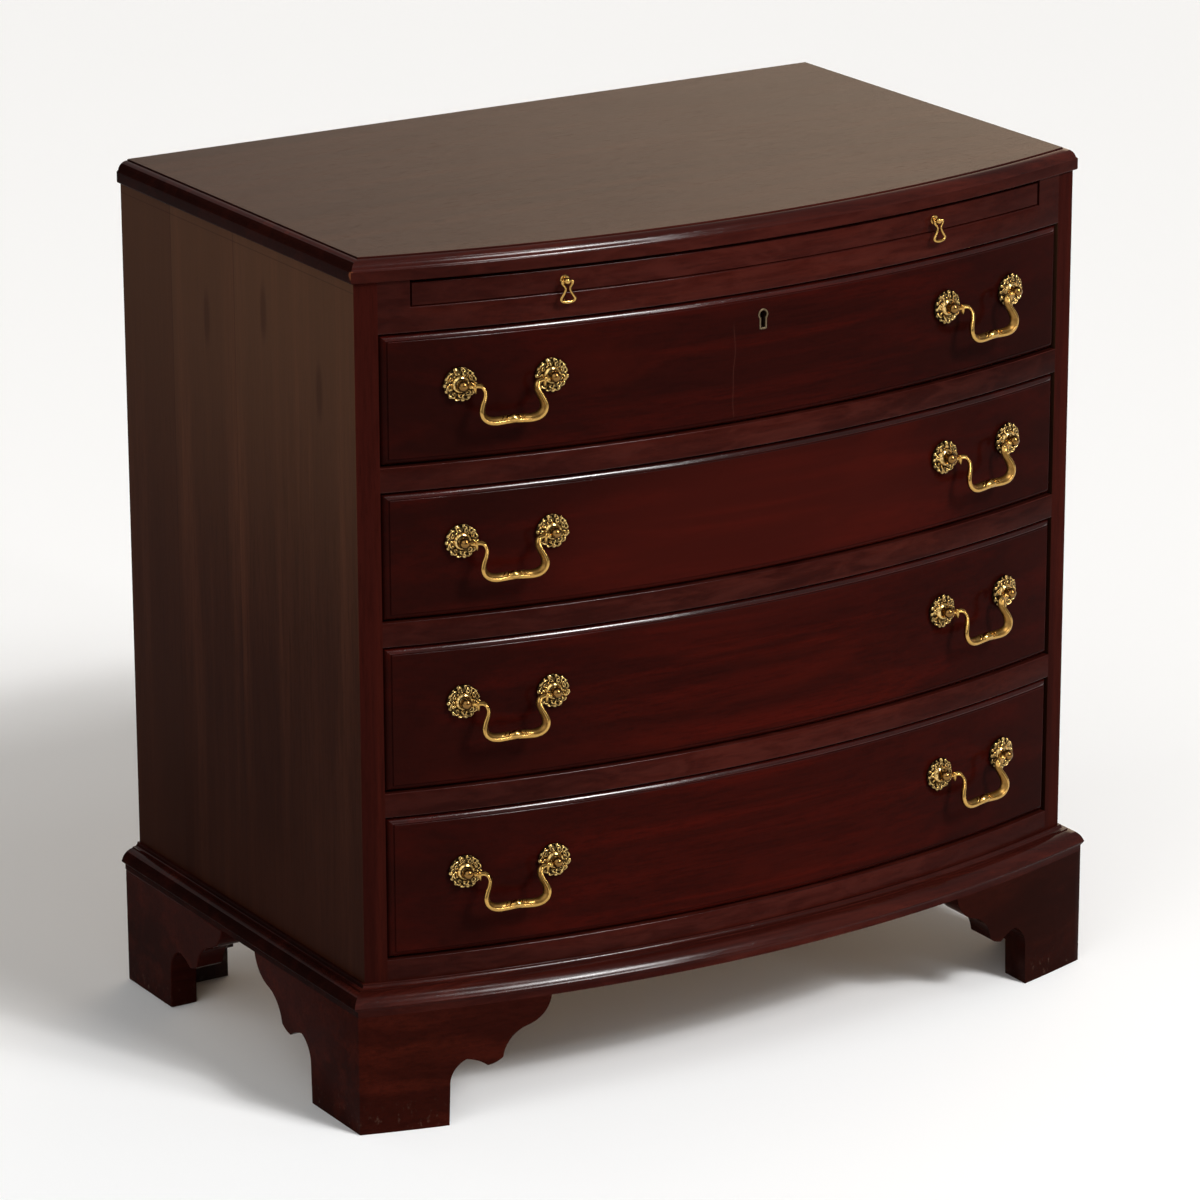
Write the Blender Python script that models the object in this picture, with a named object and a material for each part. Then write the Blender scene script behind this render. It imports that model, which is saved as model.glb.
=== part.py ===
"""Bow-front bachelor chest with four drawers, a brushing slide and brass bail pulls.

Metres, +Z up. X runs across the chest and its front faces -Y. The origin is on the floor,
below the middle of the box that holds the whole chest. A reach is how far a surface stands
outside the case: beyond a side in X, or beyond the bowed front along the bow's radius.
"""
import math

import bmesh
import bpy
from mathutils import Vector

# The case
CASE_WIDTH = 0.726
END_DEPTH = 0.409
BOW_RISE = 0.056
SIDE_THICKNESS = 0.0192
BACK_THICKNESS = 0.008
RAIL_HEIGHT = 0.0213
RAIL_DEPTH = 0.050
DUST_BOARD_THICKNESS = 0.010

# Heights, from the floor up
FOOT_HEIGHT = 0.107
BASE_HEIGHT = 0.0235
BASE_SEAT_DROP = 0.0065
BOTTOM_RAIL_SHOW = 0.0187
DRAWER_OPENINGS = (0.1142, 0.1130, 0.1291, 0.1281)
SLIDE_OPENING = 0.0232
TOP_THICKNESS = 0.020

# The top board's moulded edge
TOP_REACH = 0.0034
TOP_STRIP_HEIGHT = 0.0105
TOP_FILLET_DROP = 0.0012
TOP_OVOLO_WIDTH = 0.0080
TOP_LOWER_ROUND = 0.0015

# The base moulding and the bracket feet
BASE_SIDE_REACH = 0.0189
BASE_FRONT_REACH = 0.0206
BASE_SEAT_WIDTH = 0.024
BASE_FILLET_REACH = 0.0025
BASE_FILLET_HEIGHT = 0.0012
BASE_COVE_REACH = 0.0065
BASE_COVE_BULGE = 0.0008
BASE_LEDGE_REACH = 0.0080
BASE_LEDGE_DROP = 0.0037
BASE_LEDGE_HEIGHT = 0.0005
BASE_OVOLO_BULGE = 0.0022
BASE_NOSE_RISE = 0.0095
BASE_NOSE_HEIGHT = 0.0022
BASE_RETURN_HEIGHT = 0.0022
FOOT_SIDE_REACH = 0.0153
FOOT_FRONT_REACH = 0.0190
SIDE_BRACKET_THICKNESS = 0.026
FRONT_BRACKET_THICKNESS = 0.030
FRONT_LEG_WIDTH = 0.0753
SIDE_LEG_WIDTH = 0.0830
FRONT_SCROLL_REACH = 0.0912
SIDE_SCROLL_REACH = 0.0991
REAR_BRACKET_THICKNESS = 0.020
REAR_BRACKET_INSET = 0.021
REAR_BRACKET_WIDTH = 0.054
REAR_BRACKET_STEP = 0.006
REAR_BRACKET_STEP_HEIGHT = 0.027

# A bracket's cut-out: the points between its curves, as shares of its reach and heights,
# and how far each curve bulges
SCROLL_SHARES = (0.012, 0.17, 0.37, 0.52, 0.78, 1.0)
SCROLL_HEIGHTS = (0.035, 0.0588, 0.0507, 0.0565, 0.0830, FOOT_HEIGHT)
SCROLL_BULGES = (0.0045, 0.0014, -0.0012, 0.0055, -0.0045)

# Drawers
FRONT_THICKNESS = 0.020
FRONT_PROUD = 0.0008
FRONT_EDGE_STEP = 0.0013
FRONT_EDGE_ROUND = 0.0055
DRAWER_SIDE_THICKNESS = 0.012
DRAWER_BACK_THICKNESS = 0.010
DRAWER_SIDE_DROP = 0.006
DRAWER_BOTTOM_THICKNESS = 0.006
DRAWER_BOTTOM_RISE = 0.009
GROOVE_DEPTH = 0.005
TAIL_COUNT = 3
TAIL_LENGTH = 0.009
TAIL_WIDTH = 0.024
TAIL_FLARE = 0.002
DRAWER_BACK_SPACE = 0.012

# Brushing slide
SLIDE_CHEEK_WIDTH = 0.0265
SLIDE_THICKNESS = 0.0198
SLIDE_RECESS = 0.001
SLIDE_EDGE_ROUND = 0.0012
SLIDE_BACK_SPACE = 0.030

# Bail pulls
PULL_END_SPACE = 0.1035
PULL_BORING = 0.0797
PULL_RISES = (0.0104, 0.0102, 0.0119, 0.0100)
ROSETTE_RADIUS = 0.0163
ROSETTE_HEIGHT = 0.0034
ROSETTE_LOBE_DEPTH = 0.0016
SHANK_RADIUS = 0.002
NUT_RADIUS = 0.005
NUT_HEIGHT = 0.0035
BALL_RADIUS = 0.0046
BALL_REACH = 0.010
BAIL_PIN_RADIUS = 0.0014
BAIL_PIN_LENGTH = 0.0048
BAIL_COLLAR_RADIUS = 0.0026
BAIL_COLLAR_LENGTH = 0.0016
BAIL_DROP = 0.031
BAIL_LEAN = 0.009
BAIL_WIDTH = 0.0615
BAIL_NECK_INSET = 0.0048
BAIL_NECK_RADIUS = 0.0021
BAIL_LEG_RADIUS = 0.0029
BAIL_BAR_RADIUS = 0.0027
BAIL_KNOP_RADIUS = 0.0044

# Drop pulls on the slide
DROP_END_SPACE = 0.1293
DROP_RISE = 0.0102
DROP_BALL_RADIUS = 0.0034
DROP_BALL_REACH = 0.0055
DROP_PLATE_RADIUS = 0.0042
DROP_PLATE_HEIGHT = 0.0008
DROP_SHANK_LENGTH = 0.012
DROP_LENGTH = 0.0172
DROP_WIDTH = 0.0138
DROP_LEAN = 0.0015
DROP_WIRE_RADIUS = 0.0012
DROP_PIN_RADIUS = 0.0009

# Lock and its escutcheon, on the top drawer
ESCUTCHEON_HEAD_RADIUS = 0.0050
ESCUTCHEON_LEG_HALF = 0.0037
ESCUTCHEON_HEIGHT = 0.0178
ESCUTCHEON_RIM = 0.0015
ESCUTCHEON_DEPTH = 0.003
ESCUTCHEON_PROUD = 0.0003
KEY_HEIGHT = 0.0931
LOCK_WIDTH = 0.050
LOCK_HEIGHT = 0.038
LOCK_DEPTH = 0.011
BOLT_WIDTH = 0.016
BOLT_THICKNESS = 0.005
BOLT_LENGTH = 0.018
BOLT_TRAVEL = 0.006

# Clearances
GLUE_GAP = 0.0003
FRONT_GAP = 0.0016
RUN_GAP = 0.0005
SLIDE_SIDE_GAP = 0.002
PIN_GAP = 0.0003
CUT_MARGIN = 0.002

# Steps along curves, and corners round turned pieces and bars
BOW_STEPS = 14
CURVE_STEPS = 3
KEYHOLE_STEPS = 12
TURNED_SIDES = 8
BAR_SIDES = 6

# Worked out from the sizes above
CASE_HALF = CASE_WIDTH / 2
INNER_HALF = CASE_HALF - SIDE_THICKNESS
BOW_RADIUS = (CASE_HALF ** 2 + BOW_RISE ** 2) / (2 * BOW_RISE)
BACK_Y = (END_DEPTH + BOW_RISE + BASE_FRONT_REACH) / 2
BOW_CENTRE_Y = BACK_Y - END_DEPTH - BOW_RISE + BOW_RADIUS
BOW_FACET = (CASE_WIDTH / BOW_STEPS) ** 2 / (8 * BOW_RADIUS)
MOULDING_GAP = GLUE_GAP + BOW_FACET
BASE_TOP = FOOT_HEIGHT + BASE_HEIGHT
CASE_BOTTOM = BASE_TOP - BASE_SEAT_DROP
BOTTOM_RAIL_TOP = BASE_TOP + BOTTOM_RAIL_SHOW
SLIDE_RAIL_TOP = BOTTOM_RAIL_TOP + sum(DRAWER_OPENINGS) + len(DRAWER_OPENINGS) * RAIL_HEIGHT
TOP_UNDERSIDE = SLIDE_RAIL_TOP + SLIDE_OPENING
INNER_BACK_Y = BACK_Y - BACK_THICKNESS
FRONT_INNER_REACH = FRONT_PROUD - FRONT_THICKNESS
FRONT_HALF = INNER_HALF - FRONT_GAP
BOX_BACK_Y = INNER_BACK_Y - DRAWER_BACK_SPACE
SLIDE_BOTTOM = SLIDE_RAIL_TOP + RUN_GAP
SLIDE_OPENING_HALF = INNER_HALF - SLIDE_CHEEK_WIDTH
SLIDE_HALF_WIDTH = SLIDE_OPENING_HALF - SLIDE_SIDE_GAP
PULL_CENTRE_X = FRONT_HALF - PULL_END_SPACE
DROP_X = SLIDE_HALF_WIDTH - DROP_END_SPACE


def clear_scene():
    for item in list(bpy.data.objects):
        bpy.data.objects.remove(item, do_unlink=True)


def principled(name, colour, roughness, metallic=0.0):
    found = bpy.data.materials.get(name)
    if found:
        return found
    made = bpy.data.materials.new(name)
    made.use_nodes = True
    shader = made.node_tree.nodes["Principled BSDF"]
    shader.inputs["Base Color"].default_value = (*colour, 1.0)
    shader.inputs["Roughness"].default_value = roughness
    shader.inputs["Metallic"].default_value = metallic
    return made


def mahogany():
    return principled("mahogany", (0.045, 0.011, 0.0075), 0.3)


def drawer_mahogany():
    return principled("drawer_mahogany", (0.038, 0.0075, 0.0055), 0.25)


def pale_wood():
    return principled("pale_wood", (0.36, 0.22, 0.11), 0.7)


def brass():
    return principled("brass", (0.72, 0.47, 0.16), 0.25, 1.0)


def lock_steel():
    return principled("lock_steel", (0.22, 0.20, 0.18), 0.45, 1.0)


def bow_y(x, reach=0.0):
    """The bowed front's Y at x, on the surface that stands reach outside the case."""
    return BOW_CENTRE_Y - math.sqrt((BOW_RADIUS + reach) ** 2 - x ** 2)


def bow_point(angle, reach, height):
    """A point on the bow, by its angle from the middle of the front."""
    radius = BOW_RADIUS + reach
    return Vector((radius * math.sin(angle), BOW_CENTRE_Y - radius * math.cos(angle), height))


def spaced(first, last, steps):
    return [first + (last - first) * step / steps for step in range(steps + 1)]


def arc(start, end, bulge, steps):
    """Points on a circular arc to end, without start; a positive bulge is left of the way."""
    first = complex(*start)
    chord = complex(*end) - first
    half_turn = 2 * math.atan(2 * bulge / abs(chord))
    centre = first + chord / 2 - 1j * chord / (2 * math.tan(half_turn))
    points = []
    for step in range(1, steps + 1):
        turn = -2 * half_turn * step / steps
        point = centre + (first - centre) * complex(math.cos(turn), math.sin(turn))
        points.append((point.real, point.imag))
    return points


def smooth_route(points, steps):
    """A Catmull-Rom curve through points, whose numbers may also hold a radius."""
    padded = [points[0]] + list(points) + [points[-1]]
    route = [points[0]]
    for before, start, end, after in zip(padded, padded[1:], padded[2:], padded[3:]):
        for step in range(1, steps + 1):
            t = step / steps
            weights = (
                -0.5 * t + t ** 2 - 0.5 * t ** 3,
                1 - 2.5 * t ** 2 + 1.5 * t ** 3,
                0.5 * t + 2 * t ** 2 - 1.5 * t ** 3,
                -0.5 * t ** 2 + 0.5 * t ** 3,
            )
            mixed = [sum(w * p for w, p in zip(weights, four)) for four in zip(before, start, end, after)]
            route.append(tuple(mixed))
    return route


def solid(name, corners, faces, finish):
    """A closed mesh object whose coinciding corners are merged and whose faces point out."""
    mesh = bpy.data.meshes.new(name)
    mesh.from_pydata([tuple(corner) for corner in corners], [], faces)
    shape = bmesh.new()
    shape.from_mesh(mesh)
    bmesh.ops.remove_doubles(shape, verts=shape.verts, dist=0.000001)
    bmesh.ops.recalc_face_normals(shape, faces=shape.faces)
    shape.to_mesh(mesh)
    shape.free()
    mesh.materials.append(finish)
    made = bpy.data.objects.new(name, mesh)
    bpy.context.collection.objects.link(made)
    return made


def ring_faces(rings, size):
    """Faces between neighbouring rings that each hold size corners."""
    faces = []
    for ring in range(rings - 1):
        for corner in range(size):
            after = (corner + 1) % size
            faces.append((ring * size + corner, ring * size + after,
                          (ring + 1) * size + after, (ring + 1) * size + corner))
    return faces


def loft(name, rings, finish):
    """A solid through rings of corners, closed by a flat face at both ends."""
    size = len(rings[0])
    corners = [corner for ring in rings for corner in ring]
    last = (len(rings) - 1) * size
    faces = ring_faces(len(rings), size)
    faces.append(tuple(range(size)))
    faces.append(tuple(range(last, last + size)))
    return solid(name, corners, faces, finish)


def upright_prism(name, outline, low, high, finish):
    """An outline in X and Y, from low to high in Z."""
    return loft(name, [[(x, y, z) for x, y in outline] for z in (low, high)], finish)


def crossways_prism(name, outline, left, right, finish):
    """An outline in Y and Z, from left to right in X."""
    return loft(name, [[(x, y, z) for y, z in outline] for x in (left, right)], finish)


def forward_prism(name, outline, front, back, finish):
    """An outline in X and Z, from front to back in Y."""
    return loft(name, [[(x, y, z) for x, z in outline] for y in (front, back)], finish)


def box(name, low, high, finish):
    outline = [(low[0], low[1]), (high[0], low[1]), (high[0], high[1]), (low[0], high[1])]
    return upright_prism(name, outline, low[2], high[2], finish)


def joined(name, pieces):
    """One object that holds the separate shapes of several."""
    shape = bmesh.new()
    for piece in pieces:
        piece.data.transform(piece.matrix_world)
        shape.from_mesh(piece.data)
    mesh = bpy.data.meshes.new(name)
    shape.to_mesh(mesh)
    shape.free()
    for piece in pieces:
        bpy.data.objects.remove(piece, do_unlink=True)
    made = bpy.data.objects.new(name, mesh)
    bpy.context.collection.objects.link(made)
    return made


def combine(target, tool, operation):
    """A Boolean with a hidden tool, which stays out of the model."""
    tool.hide_render = True
    tool.display_type = "WIRE"
    change = target.modifiers.new(tool.name, "BOOLEAN")
    change.operation = operation
    change.solver = "EXACT"
    change.object = tool


def carried_by(pieces, carrier):
    """Pieces ride on an empty that marks their joint."""
    for piece in pieces:
        piece.parent = carrier
        piece.location = piece.location - carrier.location


def marker(name, place):
    made = bpy.data.objects.new(name, None)
    made.empty_display_size = 0.02
    made.location = place
    bpy.context.collection.objects.link(made)
    return made


def round_shading(made):
    made.data.shade_smooth()
    made.data.set_sharp_from_angle(angle=math.radians(35))


def bowed_outline(side_reach, front_reach, back=BACK_Y):
    """The case's plan from its left back corner round the bow to its right back corner."""
    half = CASE_HALF + side_reach
    front = [(x, bow_y(x, front_reach)) for x in spaced(-half, half, BOW_STEPS)]
    return [(-half, back)] + front + [(half, back)]


def top_edge_profile():
    """The top board's edge from its underside up, as reach and height."""
    top = TOP_UNDERSIDE + TOP_THICKNESS
    strip_top = TOP_UNDERSIDE + TOP_STRIP_HEIGHT
    ovolo_foot = (TOP_REACH - TOP_LOWER_ROUND, strip_top + TOP_FILLET_DROP)
    ovolo_head = (ovolo_foot[0] - TOP_OVOLO_WIDTH, top - TOP_FILLET_DROP)
    profile = [
        (TOP_REACH - TOP_LOWER_ROUND, TOP_UNDERSIDE),
        (TOP_REACH, TOP_UNDERSIDE + TOP_LOWER_ROUND),
        (TOP_REACH, strip_top),
        ovolo_foot,
    ]
    profile += arc(ovolo_foot, ovolo_head, -0.22 * TOP_OVOLO_WIDTH, CURVE_STEPS)
    profile.append((ovolo_head[0] - TOP_FILLET_DROP, ovolo_head[1]))
    profile.append((ovolo_head[0] - TOP_FILLET_DROP, top))
    return profile


def make_top():
    rings = []
    for reach, height in top_edge_profile():
        rings.append([(x, y, height) for x, y in bowed_outline(reach, reach)])
    return loft("top", rings, mahogany())


def base_edge(reach, foot_reach):
    """The base moulding's shown edge from its top line down to its foot, reach and height."""
    ledge = BASE_TOP - BASE_LEDGE_DROP
    nose = FOOT_HEIGHT + BASE_NOSE_RISE
    nose_foot = nose - BASE_NOSE_HEIGHT
    edge = [(MOULDING_GAP, BASE_TOP), (BASE_FILLET_REACH, BASE_TOP),
            (BASE_FILLET_REACH, BASE_TOP - BASE_FILLET_HEIGHT)]
    edge += arc(edge[-1], (BASE_COVE_REACH, ledge), -BASE_COVE_BULGE, CURVE_STEPS - 1)
    edge += [(BASE_LEDGE_REACH, ledge), (BASE_LEDGE_REACH, ledge - BASE_LEDGE_HEIGHT)]
    edge += arc(edge[-1], (reach, nose), BASE_OVOLO_BULGE, CURVE_STEPS + 1)
    edge += [(reach, nose_foot), (foot_reach, nose_foot - BASE_RETURN_HEIGHT), (foot_reach, FOOT_HEIGHT)]
    return edge


def make_base_moulding():
    """A mitred frame on three sides, with a seat inside it that the case stands on."""
    side_edge = base_edge(BASE_SIDE_REACH, FOOT_SIDE_REACH)
    front_edge = base_edge(BASE_FRONT_REACH, FOOT_FRONT_REACH)
    seat = CASE_BOTTOM - GLUE_GAP
    inner = [(-BASE_SEAT_WIDTH, FOOT_HEIGHT), (-BASE_SEAT_WIDTH, seat), (MOULDING_GAP, seat)]
    routes = []
    for (side, height), (front, _) in zip(side_edge + inner, front_edge + inner):
        routes.append([(x, y, height) for x, y in bowed_outline(side, front)])
    sections = [list(section) for section in zip(*routes)]
    return loft("base_moulding", sections, mahogany())


def make_side(name, hand):
    outer = hand * CASE_HALF
    inner = hand * INNER_HALF
    outline = [(outer, BACK_Y), (outer, bow_y(outer)), (inner, bow_y(inner)), (inner, BACK_Y)]
    return upright_prism(name, outline, CASE_BOTTOM, TOP_UNDERSIDE - GLUE_GAP, mahogany())


def make_back_panel():
    half = INNER_HALF - GLUE_GAP
    return box("back_panel", (-half, INNER_BACK_Y, CASE_BOTTOM),
               (half, BACK_Y, TOP_UNDERSIDE - GLUE_GAP), pale_wood())


def rail_section(x, low, high, head):
    """A rail's section at x with the dust board behind it; head is the top of a cheek on it."""
    front = bow_y(x)
    rail_back = bow_y(INNER_HALF) + RAIL_DEPTH
    back = INNER_BACK_Y - GLUE_GAP
    board_low = high - DUST_BOARD_THICKNESS
    outline = [(front, low), (front, high), (front, head), (back, head), (back, high),
               (back, board_low), (rail_back, board_low), (rail_back, low)]
    return [(x, y, z) for y, z in outline]


def make_rail(name, low, high):
    """A bowed rail and the dust board behind it, flush on top, where a drawer runs."""
    half = INNER_HALF - GLUE_GAP
    sections = [rail_section(x, low, high, high) for x in spaced(-half, half, BOW_STEPS)]
    return loft(name, sections, mahogany())


def make_slide_rail():
    """The rail below the slide, with a cheek at each end that guides it."""
    low = SLIDE_RAIL_TOP - RAIL_HEIGHT
    head = TOP_UNDERSIDE - GLUE_GAP
    half = INNER_HALF - GLUE_GAP
    guide = SLIDE_OPENING_HALF
    sections = [rail_section(x, low, SLIDE_RAIL_TOP, head) for x in (-half, -guide)]
    for x in spaced(-guide, guide, BOW_STEPS):
        sections.append(rail_section(x, low, SLIDE_RAIL_TOP, SLIDE_RAIL_TOP))
    sections += [rail_section(x, low, SLIDE_RAIL_TOP, head) for x in (guide, half)]
    made = loft("slide_rail", sections, mahogany())
    middle = lock_middle_y()
    mortise = box("bolt_mortise",
                  (-BOLT_WIDTH / 2 - RUN_GAP, middle - BOLT_THICKNESS / 2 - RUN_GAP, low - CUT_MARGIN),
                  (BOLT_WIDTH / 2 + RUN_GAP, middle + BOLT_THICKNESS / 2 + RUN_GAP,
                   low + BOLT_TRAVEL + RUN_GAP), mahogany())
    combine(made, mortise, "DIFFERENCE")
    return made


def scroll(leg, reach):
    """A bracket's cut-out edge, from the floor up to the base, as width and height."""
    points = [(leg + share * reach, height) for share, height in zip(SCROLL_SHARES, SCROLL_HEIGHTS)]
    edge = [(leg, -CUT_MARGIN), points[0]]
    for point, bulge in zip(points[1:], SCROLL_BULGES):
        edge += arc(edge[-1], point, bulge, CURVE_STEPS)
    edge.append((leg + reach + 2 * CUT_MARGIN, FOOT_HEIGHT))
    edge.append((leg + reach + 2 * CUT_MARGIN, -CUT_MARGIN))
    return edge


def make_front_foot(name, hand):
    """Two brackets that meet in a mitre at the front corner, as one glued foot."""
    outer_x = CASE_HALF + FOOT_SIDE_REACH
    inner_x = outer_x - SIDE_BRACKET_THICKNESS
    inner_reach = FOOT_FRONT_REACH - FRONT_BRACKET_THICKNESS
    corner_y = bow_y(outer_x, FOOT_FRONT_REACH)
    front_end = outer_x - FRONT_LEG_WIDTH - FRONT_SCROLL_REACH - CUT_MARGIN
    side_end = corner_y + SIDE_LEG_WIDTH + SIDE_SCROLL_REACH + CUT_MARGIN
    outline = [(outer_x, side_end)]
    outline += [(x, bow_y(x, FOOT_FRONT_REACH)) for x in spaced(outer_x, front_end, BOW_STEPS // 4)]
    outline += [(x, bow_y(x, inner_reach)) for x in spaced(front_end, inner_x, BOW_STEPS // 4)]
    outline.append((inner_x, side_end))
    outline = [(hand * x, y) for x, y in outline]
    foot = upright_prism(name, outline, 0.0, FOOT_HEIGHT - GLUE_GAP, mahogany())
    front_edge = [(hand * (outer_x - width), z) for width, z in scroll(FRONT_LEG_WIDTH, FRONT_SCROLL_REACH)]
    front_cut = forward_prism("cut_front_" + name, front_edge, bow_y(0.0, BASE_FRONT_REACH),
                              bow_y(outer_x, inner_reach) + CUT_MARGIN, mahogany())
    side_edge = [(corner_y + width, z) for width, z in scroll(SIDE_LEG_WIDTH, SIDE_SCROLL_REACH)]
    side_cut = crossways_prism("cut_side_" + name, side_edge, hand * (inner_x - CUT_MARGIN),
                               hand * (outer_x + CUT_MARGIN), mahogany())
    combine(foot, front_cut, "DIFFERENCE")
    combine(foot, side_cut, "DIFFERENCE")
    return foot


def make_rear_side_bracket(name, hand):
    outer_x = CASE_HALF + FOOT_SIDE_REACH
    edge = [(BACK_Y - width, z) for width, z in scroll(SIDE_LEG_WIDTH, SIDE_SCROLL_REACH)]
    shown = [(y, min(z, FOOT_HEIGHT - GLUE_GAP)) for y, z in edge[:-2]]
    shown[0] = (shown[0][0], 0.0)
    outline = shown + [(BACK_Y, FOOT_HEIGHT - GLUE_GAP), (BACK_Y, 0.0)]
    inner_x = outer_x - SIDE_BRACKET_THICKNESS
    return crossways_prism(name, outline, hand * outer_x, hand * inner_x, mahogany())


def make_rear_bracket(name, hand):
    """A plain pine bracket across the back of a rear foot."""
    outer_x = CASE_HALF + FOOT_SIDE_REACH - SIDE_BRACKET_THICKNESS - GLUE_GAP
    foot_x = outer_x - REAR_BRACKET_WIDTH
    top = FOOT_HEIGHT - GLUE_GAP
    outline = [(outer_x, 0.0), (foot_x, 0.0), (foot_x, REAR_BRACKET_STEP_HEIGHT),
               (foot_x - REAR_BRACKET_STEP, REAR_BRACKET_STEP_HEIGHT),
               (foot_x - REAR_BRACKET_STEP, top), (outer_x, top)]
    back = BACK_Y - REAR_BRACKET_INSET
    outline = [(hand * x, z) for x, z in outline]
    return forward_prism(name, outline, back - REAR_BRACKET_THICKNESS, back, pale_wood())


def drawer_levels():
    """The bottom and top of each drawer's opening, from the top drawer down."""
    levels = []
    high = SLIDE_RAIL_TOP - RAIL_HEIGHT
    for opening in DRAWER_OPENINGS:
        levels.append((high - opening, high))
        high -= opening + RAIL_HEIGHT
    return levels


def front_ring(inset, reach, low, high):
    """A drawer front's outline, drawn in by inset, on the bow at reach."""
    half = FRONT_HALF - inset
    stations = spaced(-half, half, BOW_STEPS)
    below = [(x, bow_y(x, reach), low + inset) for x in stations]
    above = [(x, bow_y(x, reach), high - inset) for x in reversed(stations)]
    return below + above


def make_front(name, low, high):
    """A bowed board with a thumbnail edge: a small step, then a quarter round."""
    shoulder = FRONT_PROUD - FRONT_EDGE_STEP
    edge = [(0.0, shoulder - FRONT_EDGE_ROUND)]
    edge += arc(edge[0], (FRONT_EDGE_ROUND, shoulder), 0.29 * FRONT_EDGE_ROUND, CURVE_STEPS)
    profile = [(0.0, FRONT_INNER_REACH)] + edge + [(FRONT_EDGE_ROUND, FRONT_PROUD)]
    rings = [front_ring(inset, reach, low, high) for inset, reach in profile]
    size = len(rings[0])
    corners = [corner for ring in rings for corner in ring]
    faces = ring_faces(len(rings), size)
    for first in (0, (len(rings) - 1) * size):
        for strip in range(BOW_STEPS):
            faces.append((first + strip, first + strip + 1,
                          first + size - 2 - strip, first + size - 1 - strip))
    return solid(name, corners, faces, drawer_mahogany())


def bottom_slab(name, low, grow, back):
    """A drawer's bottom board, or with grow the groove that it slides into."""
    half = FRONT_HALF - DRAWER_SIDE_THICKNESS + GROOVE_DEPTH - GLUE_GAP + grow
    reach = FRONT_INNER_REACH + GROOVE_DEPTH - GLUE_GAP + grow
    outline = [(-half, back)]
    outline += [(x, bow_y(x, reach)) for x in spaced(-half, half, BOW_STEPS)]
    outline.append((half, back))
    base = low + RUN_GAP + DRAWER_BOTTOM_RISE
    return upright_prism(name, outline, base - grow, base + DRAWER_BOTTOM_THICKNESS + grow, pale_wood())


def tail_prisms(name, low, high, grow):
    """The dovetails at the front of both drawer sides, or with grow their sockets."""
    inner_x = FRONT_HALF - DRAWER_SIDE_THICKNESS - grow
    outer_x = FRONT_HALF + (CUT_MARGIN if grow else 0.0)
    root = FRONT_INNER_REACH - CUT_MARGIN
    tip = FRONT_INNER_REACH + TAIL_LENGTH + grow
    pitch = (high - low) / TAIL_COUNT
    tails = []
    for hand in (-1, 1):
        for number in range(TAIL_COUNT):
            middle = low + pitch * (number + 0.5)
            rings = []
            for reach, half in ((root, TAIL_WIDTH / 2 - TAIL_FLARE), (tip, TAIL_WIDTH / 2)):
                rings.append([(hand * x, bow_y(x, reach), middle + side * (half + grow))
                              for x, side in ((inner_x, -1), (outer_x, -1), (outer_x, 1), (inner_x, 1))])
            tails.append(loft(name, rings, pale_wood()))
    return joined(name, tails)


def make_box(name, low, high):
    """A drawer's two sides and its back in one frame, dovetailed into the front."""
    outer = FRONT_HALF
    inner = outer - DRAWER_SIDE_THICKNESS
    base = low + RUN_GAP
    head = high - DRAWER_SIDE_DROP
    reach = FRONT_INNER_REACH - GLUE_GAP
    back = BOX_BACK_Y - DRAWER_BACK_THICKNESS
    outline = [(-outer, BOX_BACK_Y), (-outer, bow_y(outer, reach)), (-inner, bow_y(inner, reach)),
               (-inner, back), (inner, back), (inner, bow_y(inner, reach)),
               (outer, bow_y(outer, reach)), (outer, BOX_BACK_Y)]
    frame = upright_prism(name, outline, base, head, pale_wood())
    combine(frame, tail_prisms("tails_" + name, base, head, 0.0), "UNION")
    combine(frame, bottom_slab("groove_" + name, low, GLUE_GAP, BOX_BACK_Y + CUT_MARGIN), "DIFFERENCE")
    below_back = box("below_back_" + name, (-inner, back - CUT_MARGIN, base - CUT_MARGIN),
                     (inner, BOX_BACK_Y + CUT_MARGIN, base + DRAWER_BOTTOM_RISE + CUT_MARGIN), pale_wood())
    combine(frame, below_back, "DIFFERENCE")
    return frame


def pull_angle(hand):
    return hand * math.asin(PULL_CENTRE_X / BOW_RADIUS)


def post_half_angle():
    return math.asin(PULL_BORING / 2 / BOW_RADIUS)


def turned(name, profile, finish):
    """A turned piece about its own Z, from rings of radius, height, corners and lobe depth."""
    corners = []
    rings = []
    for radius, height, count, lobe in profile:
        first = len(corners)
        for corner in range(count):
            angle = 2 * math.pi * corner / count
            swell = radius - lobe * (corner % 2)
            corners.append((swell * math.cos(angle), swell * math.sin(angle), height))
        rings.append(list(range(first, first + count)))
    faces = [tuple(rings[0]), tuple(rings[-1])]
    for lower, upper in zip(rings, rings[1:]):
        faces += bridge(lower, upper)
    made = solid(name, corners, faces, finish)
    round_shading(made)
    return made


def bridge(lower, upper):
    """Faces between two rings, where one may hold twice the other's corners."""
    faces = []
    few, many = (lower, upper) if len(lower) < len(upper) else (upper, lower)
    share = len(many) // len(few)
    for corner in range(len(few)):
        after = (corner + 1) % len(few)
        start = corner * share
        if share == 2:
            faces.append((few[corner], many[start], many[start + 1]))
            faces.append((few[corner], many[start + 1], many[(start + 2) % len(many)], few[after]))
        else:
            faces.append((few[corner], few[after], many[after], many[corner]))
    return faces


def ball_rings(radius, centre, lowest):
    """A ball's rings from lowest, in degrees below its middle, to a small flat at its crown."""
    rings = []
    for turn in spaced(math.radians(lowest), math.radians(70), CURVE_STEPS):
        rings.append((radius * math.cos(turn), centre + radius * math.sin(turn), TURNED_SIDES, 0.0))
    return rings


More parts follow.
